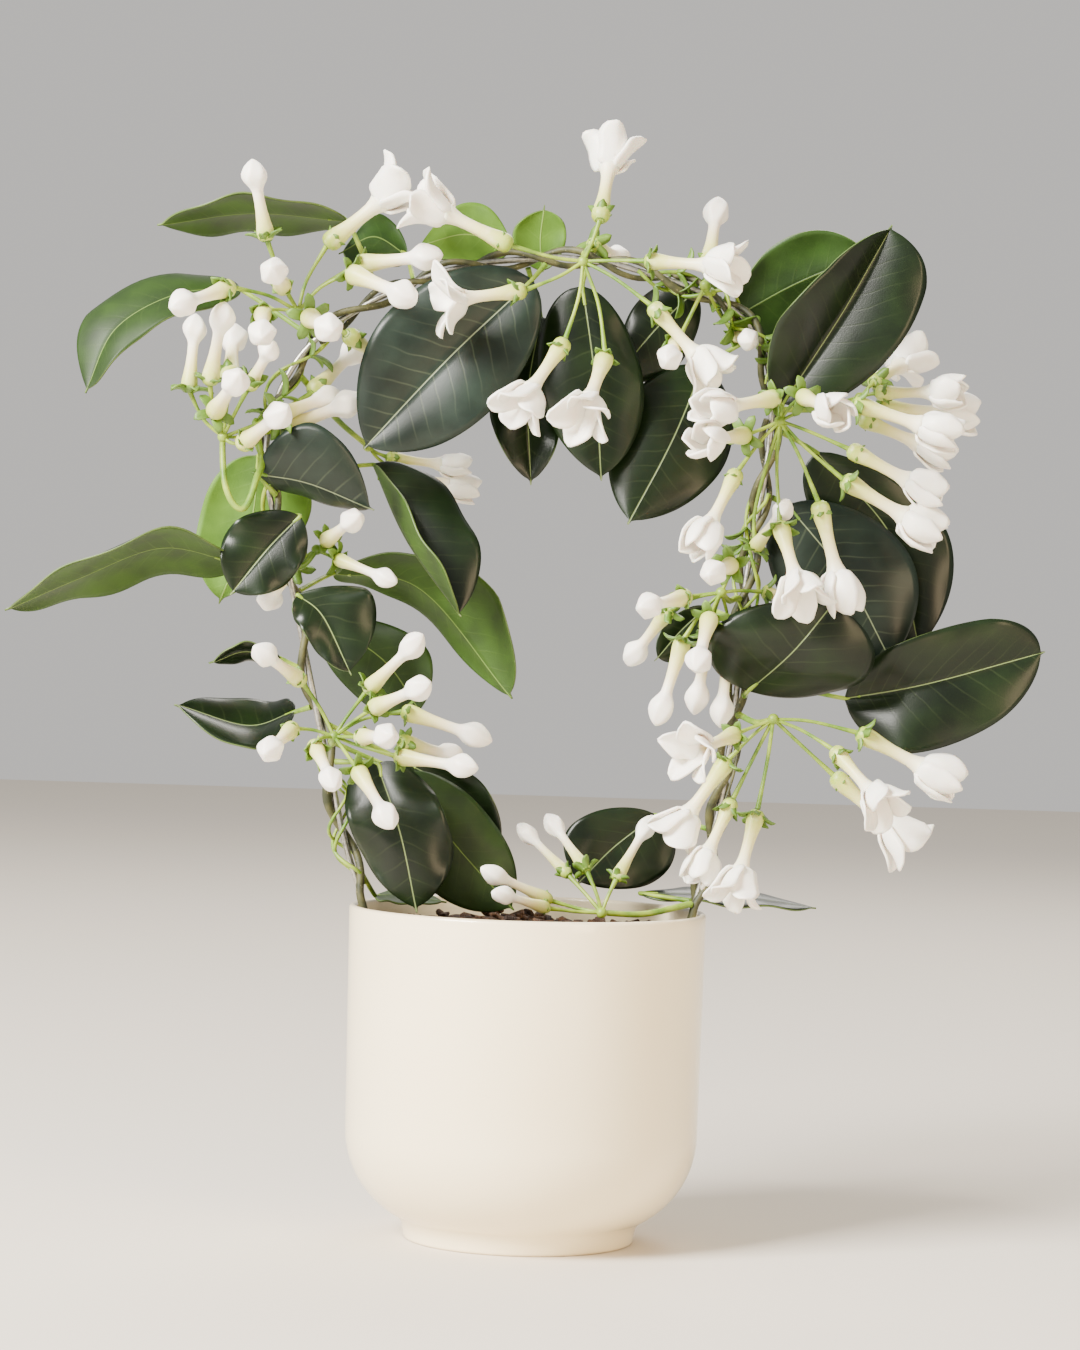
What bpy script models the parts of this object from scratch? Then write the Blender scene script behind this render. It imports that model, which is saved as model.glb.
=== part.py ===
"""Madagascar jasmine trained round a wire hoop in a ceramic pot.

Lengths in the layout lists are millimetres. A place is written as it shows from
the front: (across, up, depth), read on the plane through the pot's axis, where a
point off that plane is moved along its line of sight so that it shows in the
same place. Depth grows away from the viewer.
"""
import math

import bmesh
import bpy
from mathutils import Vector

MM = 0.001

# Viewer's eye, from the front
EYE_DISTANCE = 1528.0
EYE_HEIGHT = 240.8

# Pot
RIM_RADIUS = 70.0
RIM_HEIGHT = 130.0
WAIST_RADIUS = 69.1
CORNER_RADIUS = 38.0
CORNER_HEIGHT = 42.5
FOOT_RADIUS = 46.0
FOOT_HEIGHT = 6.2
FOOT_INSET = 1.4
WALL = 2.8
FLOOR = 5.0
POT_SIDES = 32

# Soil
SOIL_EDGE = 120.5
SOIL_MOUND = 5.0
SOIL_CLEARANCE = 0.3

# Wire and stems
WIRE_RADIUS = 1.25
STEM_RADIUS = 1.7
STEM_TURNS = 13
STEM_STEPS = 8
GAP = 0.3

# Leaf
BLADE = 0.7
BLADE_STEPS = 6
PETIOLE_RADIUS = 1.1

# Flower
BUD_LENGTH = 36.0
TUBE_LENGTH = 26.0
PETAL_LENGTH = 17.0
PETAL_WIDTH = 9.5
PETAL_THICKNESS = 0.8
CUP_OPEN = 76.0
HALF_OPEN = 54.0
FULLY_OPEN = 32.0
FLOWER_SIDES = 5
PEDICEL_RADIUS = 0.75
PEDUNCLE_RADIUS = 1.3
HUB_RADIUS = 2.3

# The wire's route from foot to foot
HOOP = [(-60, 66), (-62, 112), (-65, 131), (-72, 152), (-78, 176), (-84, 200),
        (-90, 226), (-97, 256), (-105, 284), (-108, 306), (-103, 330), (-90, 350),
        (-66, 367), (-38, 379), (-11, 384), (14, 385), (40, 380), (66, 371),
        (82, 358), (89, 338), (89, 314), (86, 290), (82, 264), (80, 238),
        (79, 212), (76, 186), (71, 156), (65, 131), (62, 112), (60, 66)]

# Name, side that shows, midrib from base to tip, one edge, the other edge
LEAVES = [
    ("leaf_top_left", "under", [(-79, 397, 4), (-116, 399, 0), (-151, 393.5, -4)],
     [(-118, 406, -21)], [(-115, 391, 20)]),
    ("leaf_left_arching", "upper", [(-120, 369, 10), (-145, 366, 2), (-168, 352, -4), (-178.5, 328.5, -8)],
     [(-146, 374, 16), (-180, 358, 8)], [(-140, 359, -8), (-162, 347, -14)]),
    ("leaf_left_long", "under", [(-118, 262, 0), (-148, 267, -8), (-180, 254, -14), (-206.5, 241.5, -18)],
     [(-146, 274, -30), (-181, 260, -32)], [(-148, 255, 8), (-178, 246, 4)]),
    ("leaf_centre_top", "upper", [(-6, 376, -8), (-38, 344, -12), (-68.5, 309.5, -12)],
     [(-60, 364, -14)], [(-20, 325, -16)]),
    ("leaf_below_centre", "upper", [(14, 374, 2), (20, 338, -4), (23.5, 300.5, -6)],
     [(-2, 338, 0)], [(39, 337, -2)]),
    ("leaf_folded_centre", "upper", [(-2, 362, 14), (-6, 332, 14), (-4, 298, 10)],
     [(-21, 330, 8)], [(8, 330, 10)]),
    ("leaf_right_centre", "upper", [(62, 344, 14), (51, 315, 0), (35.5, 283.5, -6)],
     [(30, 323, 6)], [(72, 307, 4)]),
    ("leaf_behind_right", "upper", [(58, 374, 18), (42, 357, 16), (30, 341, 14)],
     [(36, 369, 20)], [(52, 344, 18)]),
    ("leaf_top_right", "upper", [(94, 331, -8), (116, 367, -10), (133.5, 400, -10)],
     [(91, 363, -24), (110, 384, -26)], [(130, 344, -14), (149, 377, -14)]),
    ("leaf_top_right_back", "under", [(74, 364, 20), (98, 378, 20), (125, 390, 16)],
     [(94, 396, 16)], [(104, 360, 24)]),
    ("leaf_right_grey", "upper", [(97, 291, 8), (121, 263, 2), (139, 232, 2)],
     [(144, 275, 6)], [(99, 250, 8)]),
    ("leaf_right_dark", "upper", [(108, 312, 20), (138, 280, 20), (150, 238, 14)],
     [(159, 284, 20)], [(118, 268, 22)]),
    ("leaf_right_round", "upper", [(84, 218, -14), (101, 234, -28), (116, 253, -30)],
     [(71, 243, -28)], [(130, 225, -24)]),
    ("leaf_right_long", "upper", [(122, 216, 0), (153, 222.5, -8), (197.5, 236, -6)],
     [(142, 238, -14), (177, 249, -12)], [(146, 195, -12), (178, 206, -12)]),
    ("leaf_left_grey", "upper", [(-111, 297, -10), (-91, 294, -14), (-67, 285, -14)],
     [(-88, 317, -18)], [(-90, 288, -4)]),
    ("leaf_left_pale", "under", [(-111, 304, 12), (-113, 278, 14), (-124, 247.5, 16)],
     [(-133, 281, 14)], [(-90, 282, 12)]),
    ("leaf_left_dark", "upper", [(-94, 281, -9), (-106, 268, -11), (-119, 251, -14)],
     [(-121, 276, -12)], [(-96, 257, -13)]),
    ("leaf_folded_long", "upper", [(-66, 302, 20), (-52, 273, -2), (-31, 245, -10)],
     [(-46, 275, -20)], [(-29, 283, 2)]),
    ("leaf_low_centre", "under", [(-80, 259, 30), (-46, 254, 26), (-10, 213.5, 12)],
     [(-50, 268, 16), (-16, 252, 8)], [(-62, 253, 36), (-37, 236, 30)]),
    ("leaf_left_inner", "upper", [(-94, 250, -9), (-84, 242, -10), (-73, 221, -12)],
     [(-65, 251, -8)], [(-91, 235, -14)]),
    ("leaf_left_inner_back", "upper", [(-82, 240, 20), (-59, 225, 16), (-45, 206.5, 12)],
     [(-45, 233, 16)], [(-71, 212, 18)]),
    ("leaf_left_small", "upper", [(-100, 225, -4), (-114, 227.5, -8), (-126, 223, -12)],
     [(-114, 231, -14)], [(-113, 223.5, -2)]),
    ("leaf_left_narrow", "upper", [(-94, 204, 8), (-112, 198, 4), (-139, 205, -4)],
     [(-108, 208, 16)], [(-111, 189, -12)]),
    ("leaf_low_left_front", "upper", [(-61, 185, -8), (-51, 158, -18), (-44, 129, -18)],
     [(-73, 168, -12), (-65, 148, -14)], [(-38, 174, -14), (-30, 150, -16)]),
    ("leaf_low_left_bright", "upper", [(-50, 181, 6), (-31, 156, -2), (-7, 130.5, -2)],
     [(-16, 165, 4)], [(-42, 140, -2)]),
    ("leaf_low_left_back", "upper", [(-50, 186, 18), (-28, 174, 16), (-12, 153, 12)],
     [(-20, 179, 12)], [(-37, 164, 18)]),
    ("leaf_on_rim_left", "under", [(-60, 133, 16), (-50, 133.5, 22), (-34, 131.5, 26)],
     [(-48, 136, 34)], [(-51, 130.5, 12)]),
    ("leaf_low_round", "upper", [(49, 168, 34), (33, 155, 32), (20, 141, 26)],
     [(17, 164, 30)], [(52, 144, 34)]),
    ("leaf_on_rim_right", "upper", [(44, 137, 18), (78, 137, 24), (111, 133.5, 28)],
     [(76, 139, 42)], [(80, 133.5, 11)]),
    ("leaf_top_round", "under", [(-2, 380, 16), (-3, 392, 15), (-2, 403.5, 12)],
     [(-14, 393, 12)], [(7, 394, 13)]),
    ("leaf_top_pale", "under", [(-15, 388, 18), (-32, 393, 16), (-50, 388, 14)],
     [(-30, 406, 22)], [(-34, 383, 9)]),
    ("leaf_top_small", "under", [(-55, 384, 20), (-68, 391, 20), (-80, 385, 16)],
     [(-66, 400, 26)], [(-69, 381, 14)]),
    ("leaf_right_small", "upper", [(66, 250, 14), (56, 240, 12), (48, 230, 8)],
     [(51, 244, 10)], [(60, 232, 12)]),
]

# Name, hub, and flowers: kind, foot, end, then whether it leans to the viewer (-1) or away (1).
# A kind is a bud, or a flower whose petals stand in a cup, are half open or are spread out
UMBELS = [
    ("umbel_top", (14, 384, -18), [
        ("half", (20, 400, -20), (23, 421), 1),
        ("half", (-14, 389, -24), (-40, 401), -1),
        ("open", (-8, 372, -24), (-33, 368), -1),
        ("half", (38, 385, -24), (63, 384), -1),
        ("half", (41, 368, -26), (59, 349), -1),
        ("half", (8, 353, -26), (-5, 333), -1),
        ("half", (24, 348, -26), (18, 330), -1),
        ("bud", (17, 391, 0), (30, 385), 1)]),
    ("umbel_top_left", (-97, 361, -14), [
        ("bud", (-110, 388, -27), (-117, 420), -0.4),
        ("bud", (-103, 370, -20), (-108, 378), -1),
        ("bud", (-123, 370, -30), (-147, 361), -1),
        ("bud", (-93, 359, -22), (-83, 354), -1),
        ("bud", (-111, 361, -22), (-111, 350), -1),
        ("bud", (-78, 377, -14), (-51, 367), -1),
        ("bud", (-75, 380, -4), (-41, 385), -1),
        ("bud", (-78, 353, -9), (-56, 338), 1),
        ("half", (-87, 387, -8), (-66, 405), -1)]),
    ("umbel_left", (-125, 311, -20), [
        ("bud", (-139, 328, -24), (-137, 359), 0),
        ("bud", (-131, 331, -28), (-126, 364), -0.5),
        ("bud", (-123, 333, -20), (-122, 354), 1),
        ("bud", (-116, 330, -26), (-106, 349), -0.3),
        ("bud", (-129, 320, -30), (-119, 336), -1),
        ("bud", (-118, 308, -26), (-100, 323), -1),
        ("bud", (-106, 319, -16), (-80, 330), 1),
        ("bud", (-104, 314, -4), (-70, 328), 1),
        ("bud", (-91, 329, 0), (-71, 350), 1)]),
    ("umbel_left_back", (-87, 268, 8), [
        ("bud", (-84, 271, 6), (-71, 282), -1),
        ("bud", (-80, 265, 4), (-55, 256), -0.6),
        ("bud", (-95, 262, 12), (-107, 245), 1)]),
    ("umbel_behind", (-68, 309, 32), [
        ("cup", (-61, 305, 34), (-40, 303), 0.4),
        ("cup", (-58, 300, 34), (-37, 295), 0.6)]),
    ("umbel_low_left", (-78, 195, -20), [
        ("bud", (-91, 216, -20), (-110, 229), -1),
        ("bud", (-94, 198, -26), (-105, 187), -1),
        ("bud", (-86, 192, -34), (-77, 175), -1),
        ("bud", (-69, 183, -34), (-54, 160), -1),
        ("bud", (-68, 195, -30), (-55, 196), -1),
        ("bud", (-66, 213, -20), (-44, 236), -1),
        ("bud", (-64, 206, -24), (-41, 217), -1),
        ("bud", (-52, 206, -20), (-16, 195), -1),
        ("bud", (-54, 188, -24), (-21, 184), -1),
        ("bud", (-52, 194, -14), (-28, 188), 1)]),
    ("umbel_right", (93, 324, -26), [
        ("cup", (101, 334, -30), (111, 330), -1),
        ("cup", (92, 333, -32), (73, 329), -1),
        ("cup", (80, 318, -32), (68, 316), -1),
        ("cup", (77, 304, -30), (67, 283), -1),
        ("cup", (121, 332, -24), (148, 324), -1),
        ("cup", (120, 314, -26), (144, 302), -1),
        ("cup", (118, 302, -26), (143, 288), -1),
        ("cup", (109, 293, -30), (117, 265), -1),
        ("half", (94, 284, -28), (101, 263), -1),
        ("bud", (84, 273, -16), (98, 293), -0.4)]),
    ("umbel_right_back", (124, 334, 14), [
        ("half", (129, 340, 16), (139, 347), 1),
        ("cup", (130, 336, 10), (152, 337), -0.6),
        ("cup", (130, 331, 18), (156, 329), 1),
        ("cup", (124, 326, 12), (147, 317), 1)]),
    ("umbel_right_middle", (72, 256, -20), [
        ("bud", (76, 267, -26), (67, 263), -1),
        ("bud", (59, 254, -24), (40, 249), -1),
        ("bud", (52, 249, -20), (36, 227), 1),
        ("bud", (58, 238, -22), (48, 203), -1),
        ("bud", (68, 247, -28), (63, 225), -1),
        ("bud", (68, 242, -14), (63, 208), 1),
        ("bud", (76, 238, -12), (73, 203), 0),
        ("bud", (88, 257, -16), (103, 254), 0)]),
    ("umbel_low_right", (94, 207, -32), [
        ("half", (80, 201, -36), (67, 195), -1),
        ("half", (77, 191, -30), (62, 169), -1),
        ("cup", (79, 175, -26), (70, 154), -0.6),
        ("half", (89, 171, -34), (83, 147), -1),
        ("half", (118, 196, -36), (133, 180), -1),
        ("half", (118, 186, -26), (140, 167), 1),
        ("cup", (127, 203, -30), (153, 190), -1)]),
    ("umbel_on_soil", (29, 129, -22), [
        ("bud", (23, 145, -20), (6, 167), 1),
        ("bud", (16, 143, -14), (-5, 163), 1),
        ("bud", (9, 133, -18), (-19, 145), -1),
        ("bud", (8, 130, -30), (-14, 136), -1),
        ("bud", (34, 142, -18), (48, 168), 1)]),
    ("umbel_top_right", (62, 376, -14), [
        ("bud", (63, 383, 6), (66, 410), 1),
        ("bud", (52, 354, -14), (48, 346), -1),
        ("bud", (74, 357, 6), (81, 355), -0.6)]),
]

# Colours
CREAM = (0.86, 0.80, 0.68)
BARK = (0.045, 0.025, 0.014)
STEEL = (0.55, 0.54, 0.50)
VINE = (0.10, 0.12, 0.03)
GLOSSY_GREEN = (0.018, 0.040, 0.008)
UNDERSIDE_GREEN = (0.11, 0.15, 0.02)
WAXY_WHITE = (0.84, 0.80, 0.70)


def seen(across, up, depth=0.0):
    """Place, in millimetres, that shows at (across, up) when it is moved to a depth."""
    away = (EYE_DISTANCE + depth) / EYE_DISTANCE
    return Vector((across * away, depth, EYE_HEIGHT + (up - EYE_HEIGHT) * away))


def through(points, steps):
    """Evenly numbered points of a smooth route through the given ones."""
    spans = len(points) - 1
    route = []
    for step in range(steps + 1):
        place = step / steps * spans
        span = min(int(place), spans - 1)
        t = place - span
        p1, p2 = points[span], points[span + 1]
        p0 = points[span - 1] if span > 0 else p1 * 2 - p2
        p3 = points[span + 2] if span + 2 <= spans else p2 * 2 - p1
        route.append(0.5 * (2 * p1 + (p2 - p0) * t + (2 * p0 - 5 * p1 + 4 * p2 - p3) * t ** 2
                            + (3 * p1 - p0 - 3 * p2 + p3) * t ** 3))
    return route


def material(name, colour, roughness, metallic=0.0):
    mat = bpy.data.materials.new(name)
    mat.use_nodes = True
    shader = mat.node_tree.nodes["Principled BSDF"]
    shader.inputs["Base Color"].default_value = (*colour, 1.0)
    shader.inputs["Roughness"].default_value = roughness
    shader.inputs["Metallic"].default_value = metallic
    return mat


def add_object(name, mesh, collection, mat=None):
    obj = bpy.data.objects.new(name, mesh)
    collection.objects.link(obj)
    if mat:
        mesh.materials.append(mat)
    return obj


def mesh_from(name, verts, faces):
    mesh = bpy.data.meshes.new(name)
    bm = bmesh.new()
    corners = [bm.verts.new(Vector(v) * MM) for v in verts]
    for face in faces:
        bm.faces.new([corners[i] for i in face])
    bmesh.ops.recalc_face_normals(bm, faces=bm.faces)
    bm.to_mesh(mesh)
    bm.free()
    return mesh


def finished(obj):
    """The object's mesh with its modifiers or bevel applied, put back as the object's own."""
    bpy.context.view_layer.update()
    graph = bpy.context.evaluated_depsgraph_get()
    return bpy.data.meshes.new_from_object(obj.evaluated_get(graph))


def replace_mesh(obj, mesh, mat):
    obj.modifiers.clear()
    obj.data = mesh
    mesh.materials.clear()
    mesh.materials.append(mat)


def smooth(obj):
    for polygon in obj.data.polygons:
        polygon.use_smooth = True


def tube(name, points, radii, collection, bevel_resolution=1):
    """A capped round tube along points, made with a bevelled curve and turned into a mesh."""
    curve = bpy.data.curves.new(name, "CURVE")
    curve.dimensions = "3D"
    curve.bevel_depth = MM
    curve.bevel_resolution = bevel_resolution
    curve.use_fill_caps = True
    spline = curve.splines.new("POLY")
    spline.points.add(len(points) - 1)
    for corner, place, radius in zip(spline.points, points, radii):
        corner.co = (*(place * MM), 1.0)
        corner.radius = radius
    source = bpy.data.objects.new(name, curve)
    collection.objects.link(source)
    mesh = finished(source)
    bpy.data.objects.remove(source)
    bm = bmesh.new()
    bm.from_mesh(mesh)
    bmesh.ops.remove_doubles(bm, verts=bm.verts, dist=1e-6)
    bmesh.ops.recalc_face_normals(bm, faces=bm.faces)
    bm.to_mesh(mesh)
    bm.free()
    return add_object(name, mesh, collection)


def turned(name, profile, sides, collection, centre=Vector((0, 0, 0)), axis=Vector((0, 0, 1)), spin=0.0):
    """A closed body turned from (radius, height) pairs that start and end on the axis or get capped."""
    turn = Vector((0, 0, 1)).rotation_difference(axis)
    verts, faces, rings = [], [], []
    for radius, height in profile:
        ring = []
        count = sides if radius > 1e-6 else 1
        for i in range(count):
            angle = spin + 2 * math.pi * i / sides
            spot = Vector((radius * math.cos(angle), radius * math.sin(angle), height))
            ring.append(len(verts))
            verts.append(centre + turn @ spot)
        rings.append(ring)
    for low, high in zip(rings, rings[1:]):
        for i in range(sides):
            j = (i + 1) % sides
            quad = [low[i % len(low)], low[j % len(low)], high[j % len(high)], high[i % len(high)]]
            corners = list(dict.fromkeys(quad))
            if len(corners) > 2:
                faces.append(corners)
    for ring in (rings[0], rings[-1]):
        if len(ring) > 1:
            faces.append(ring)
    return add_object(name, mesh_from(name, verts, faces), collection)


def join(name, pieces, collection, mat):
    """One body from overlapping closed pieces."""
    group = bpy.data.collections.new(name + "_pieces")
    bpy.context.scene.collection.children.link(group)
    base = pieces[0]
    for piece in pieces[1:]:
        for holder in list(piece.users_collection):
            holder.objects.unlink(piece)
        group.objects.link(piece)
    union = base.modifiers.new("join", "BOOLEAN")
    union.operation = "UNION"
    union.operand_type = "COLLECTION"
    union.collection = group
    union.solver = "MANIFOLD"
    mesh = finished(base)
    for piece in pieces:
        bpy.data.objects.remove(piece)
    bpy.data.collections.remove(group)
    mesh.name = name
    obj = add_object(name, mesh, collection)
    mesh.materials.clear()
    mesh.materials.append(mat)
    return obj


# Routes

def hoop_route(steps):
    return through([seen(across, up) for across, up in HOOP], steps)


def twining_route(start, end, phase):
    """A stem's route round the wire between two shares of its length, straight where it enters the pot."""
    wire = hoop_route(240)
    lengths = [0.0]
    for a, b in zip(wire, wire[1:]):
        lengths.append(lengths[-1] + (b - a).length)
    buried = next(length for length, place in zip(lengths, wire) if place.z > RIM_HEIGHT + 3)
    free = lengths[-1] - 2 * buried
    steps = round(abs(end - start) * STEM_TURNS * STEM_STEPS)
    route = []
    for step in range(steps + 1):
        at = (start + (end - start) * step / steps) * lengths[-1]
        k = min(max(i for i, length in enumerate(lengths) if length <= at), len(wire) - 2)
        place = wire[k].lerp(wire[k + 1], (at - lengths[k]) / (lengths[k + 1] - lengths[k]))
        along = (wire[min(k + 2, len(wire) - 1)] - wire[max(k - 1, 0)]).normalized()
        out = Vector((0, 1, 0)).cross(along).normalized()
        back = along.cross(out)
        turned_by = min(max((at - buried) / free, 0.0), 1.0) * STEM_TURNS
        angle = phase + 2 * math.pi * turned_by
        reach = WIRE_RADIUS + STEM_RADIUS + GAP
        route.append(place + (out * math.cos(angle) + back * math.sin(angle)) * reach)
    return route


FRONT, BACK = -math.pi / 2, math.pi / 2
STEMS = [("stem_left", 0.040, 0.640, FRONT), ("stem_right", 0.960, 0.380, BACK),
         ("stem_right_short", 0.960, 0.665, FRONT)]
WIRE_ROUTE = hoop_route(240)
STEM_ROUTES = {name: twining_route(start, end, phase) for name, start, end, phase in STEMS}


TAKEN = []


def is_clear(start, end, own):
    """Whether a stalk between two places keeps off the wire and off every stem but its own."""
    wire_reach = WIRE_RADIUS + PEDUNCLE_RADIUS + GAP
    stem_reach = STEM_RADIUS + PEDUNCLE_RADIUS + GAP
    for step in range(11):
        spot = start.lerp(end, step / 10)
        if any((spot - place).length < wire_reach for place in WIRE_ROUTE):
            return False
        for name, route in STEM_ROUTES.items():
            if name != own and any((spot - place).length < stem_reach for place in route):
                return False
        if any((spot - place).length < 2 * PEDUNCLE_RADIUS + GAP for place in TAKEN):
            return False
    return True


def seat(place):
    """Where a stalk from a place meets the nearest open stretch of a stem, and a point out from there."""
    choices = [(point, name) for name, route in STEM_ROUTES.items() for point in route[2:-2]
               if point.z > RIM_HEIGHT + 2]
    choices.sort(key=lambda choice: (choice[0] - place).length)
    seats = []
    for point, name in choices:
        near = point + (place - point).normalized() * (STEM_RADIUS + GAP)
        seats.append(near)
        if is_clear(near, place, name):
            break
    else:
        near = seats[0]
    TAKEN.extend(near.lerp(place, step / 14) for step in range(15))
    return near, near + (place - near).normalized() * 2.5


# Pot and soil

def pot_outer():
    """(radius, height) pairs of the outside, from the underside's rim up."""
    points = [(FOOT_RADIUS - FOOT_INSET, 0.0), (FOOT_RADIUS, FOOT_HEIGHT)]
    centre = (WAIST_RADIUS - CORNER_RADIUS, CORNER_HEIGHT)
    first = math.radians(-67.0)
    for step in range(6):
        angle = first * (1 - step / 5)
        points.append((centre[0] + CORNER_RADIUS * math.cos(angle),
                       centre[1] + CORNER_RADIUS * math.sin(angle)))
    return points


def build_pot(collection, mat):
    outer = pot_outer()
    inner = [(radius - WALL, max(height, FOOT_HEIGHT + FLOOR)) for radius, height in outer[2:]]
    inner[0] = (inner[0][0] - 1.0, inner[0][1])
    lip = [(RIM_RADIUS, RIM_HEIGHT - WALL / 2), (RIM_RADIUS - 0.4, RIM_HEIGHT - 0.4),
           (RIM_RADIUS - WALL / 2, RIM_HEIGHT), (RIM_RADIUS - WALL + 0.4, RIM_HEIGHT - 0.4),
           (RIM_RADIUS - WALL, RIM_HEIGHT - WALL / 2)]
    profile = [(0.0, 0.0)] + outer + lip + inner[::-1] + [(0.0, FOOT_HEIGHT + FLOOR)]
    pot = turned("pot", profile, POT_SIDES, collection)
    pot.data.materials.append(mat)
    smooth(pot)
    return pot


def soil_top(x, y):
    """Height of the soil's uneven surface."""
    reach = 1.0 - min(math.hypot(x + 14, y) / 62.0, 1.0)
    lumps = 1.1 * math.sin(0.21 * x + 1.3) * math.sin(0.25 * y + 0.4) + 0.7 * math.sin(0.43 * x - 0.36 * y)
    edge = min(1.0, (RIM_RADIUS - WALL - math.hypot(x, y)) / 12.0)
    return SOIL_EDGE + SOIL_MOUND * reach + lumps * edge


def build_soil(collection, mat):
    sides, rings = 24, 3
    outer = [(radius - WALL - SOIL_CLEARANCE, height) for radius, height in pot_outer()[3:]]
    floor = FOOT_HEIGHT + FLOOR + SOIL_CLEARANCE + 0.6
    top_radius = RIM_RADIUS - WALL - SOIL_CLEARANCE - 0.1
    walls = [(outer[0][0] - 6.0, floor)] + outer + [(top_radius, SOIL_EDGE)]
    verts, faces = [Vector((0, 0, floor))], []
    for radius, height in walls[:-1]:
        for i in range(sides):
            angle = 2 * math.pi * i / sides
            verts.append(Vector((radius * math.cos(angle), radius * math.sin(angle), height)))
    for ring in range(rings):
        radius = top_radius * (1 - ring / rings)
        for i in range(sides):
            angle = 2 * math.pi * i / sides
            x, y = radius * math.cos(angle), radius * math.sin(angle)
            verts.append(Vector((x, y, soil_top(x, y))))
    verts.append(Vector((0, 0, soil_top(0, 0))))
    levels = len(walls) - 1 + rings
    for i in range(sides):
        j = (i + 1) % sides
        faces.append([0, 1 + j, 1 + i])
        for level in range(levels - 1):
            low, high = 1 + level * sides, 1 + (level + 1) * sides
            faces.append([low + i, low + j, high + j])
            faces.append([low + i, high + j, high + i])
        last = 1 + (levels - 1) * sides
        faces.append([last + i, last + j, len(verts) - 1])
    soil = add_object("soil", mesh_from("soil", verts, faces), collection, mat)
    return soil


def cut_holes(soil, routes, mat):
    """Plain round holes in the soil that the wire's feet and the stems stand in."""
    cutters = bpy.data.collections.new("cutters")
    bpy.context.scene.collection.children.link(cutters)
    for number, (points, radius) in enumerate(routes):
        cutter = tube("cutter_%d" % number, points, [radius] * len(points), cutters, 2)
        cutter.hide_render = True
        cutter.display_type = "WIRE"
    drill = soil.modifiers.new("holes", "BOOLEAN")
    drill.operation = "DIFFERENCE"
    drill.operand_type = "COLLECTION"
    drill.collection = cutters
    drill.solver = "MANIFOLD"
    replace_mesh(soil, finished(soil), mat)
    for cutter in list(cutters.objects):
        bpy.data.objects.remove(cutter)
    bpy.data.collections.remove(cutters)


# Leaves

def outline(t):
    """Share of a blade's full width at a share of its length."""
    return max((4 * t * (1 - t)) ** (0.52 + 0.22 * t), 0.03) if 0 < t < 1 else 0.03


def blend(values, t):
    """A value between evenly spaced ones, the ends held."""
    if len(values) == 1:
        return values[0]
    gap = 1 / (len(values) + 1)
    place = min(max(t / gap - 1, 0.0), len(values) - 1.0)
    k = min(int(place), len(values) - 2)
    return values[k].lerp(values[k + 1], place - k)


def blade_sides(midrib, edge):
    """Full-width reach from the midrib to an edge, at each of the edge's points."""
    reaches = []
    for number, spot in enumerate(edge):
        t = (number + 1) / (len(edge) + 1)
        reaches.append((seen(*spot) - through(midrib, 24)[round(24 * t)]) / outline(t))
    return reaches


def leaf_surface(midrib, left, right, steps, halves):
    """Rows of points across a blade, from base to tip."""
    route = through(midrib, steps)
    near, far = blade_sides(midrib, left), blade_sides(midrib, right)
    rows = []
    for step, middle in enumerate(route):
        t = step / steps
        width = outline(t)
        row = []
        for share in range(-halves, halves + 1):
            side = blend(near if share < 0 else far, t)
            row.append(middle + side * width * abs(share) / halves)
        rows.append(row)
    return rows


def build_leaf(name, midrib, left, right, collection, mat):
    places = [seen(*spot) for spot in midrib]
    rows = leaf_surface(places, left, right, BLADE_STEPS, 1)
    columns = len(rows[0])
    verts = [spot for row in rows for spot in row]
    faces = []
    for i in range(len(rows) - 1):
        for j in range(columns - 1):
            a, b = i * columns + j, (i + 1) * columns + j
            faces.append([a, a + 1, b + 1])
            faces.append([a, b + 1, b])
    blade = add_object(name + "_blade", mesh_from(name, verts, faces), collection)
    thick = blade.modifiers.new("thickness", "SOLIDIFY")
    thick.thickness = BLADE * MM
    thick.offset = 0.0
    solid = finished(blade)
    blade.modifiers.clear()
    blade.data = solid
    start, out = seat(places[0])
    inside = through(places, 10)[1]
    stalk = tube(name + "_stalk", [start, out, places[0], inside],
                 [PETIOLE_RADIUS, PETIOLE_RADIUS, PETIOLE_RADIUS * 0.9, 0.5], collection, 0)
    return join(name, [blade, stalk], collection, mat)


# Flowers

BUD = [(1.3, 0.0), (3.3, 0.09), (2.1, 0.36), (2.2, 0.62), (5.8, 0.78), (0.8, 1.0)]
THROAT = [(1.3, 0.0), (3.3, 0.14), (2.1, 0.5), (2.3, 0.88), (3.6, 1.0)]


def flower_end(foot, end, lean, length):
    """Far end of a flower: it shows where given, and its depth makes up the true length."""
    start = seen(*foot)
    flat = seen(*end, foot[2])
    short = (flat - start).length
    depth = math.sqrt(max(length ** 2 - short ** 2, 0.0))
    return start, seen(*end, foot[2] + lean * depth)


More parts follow.
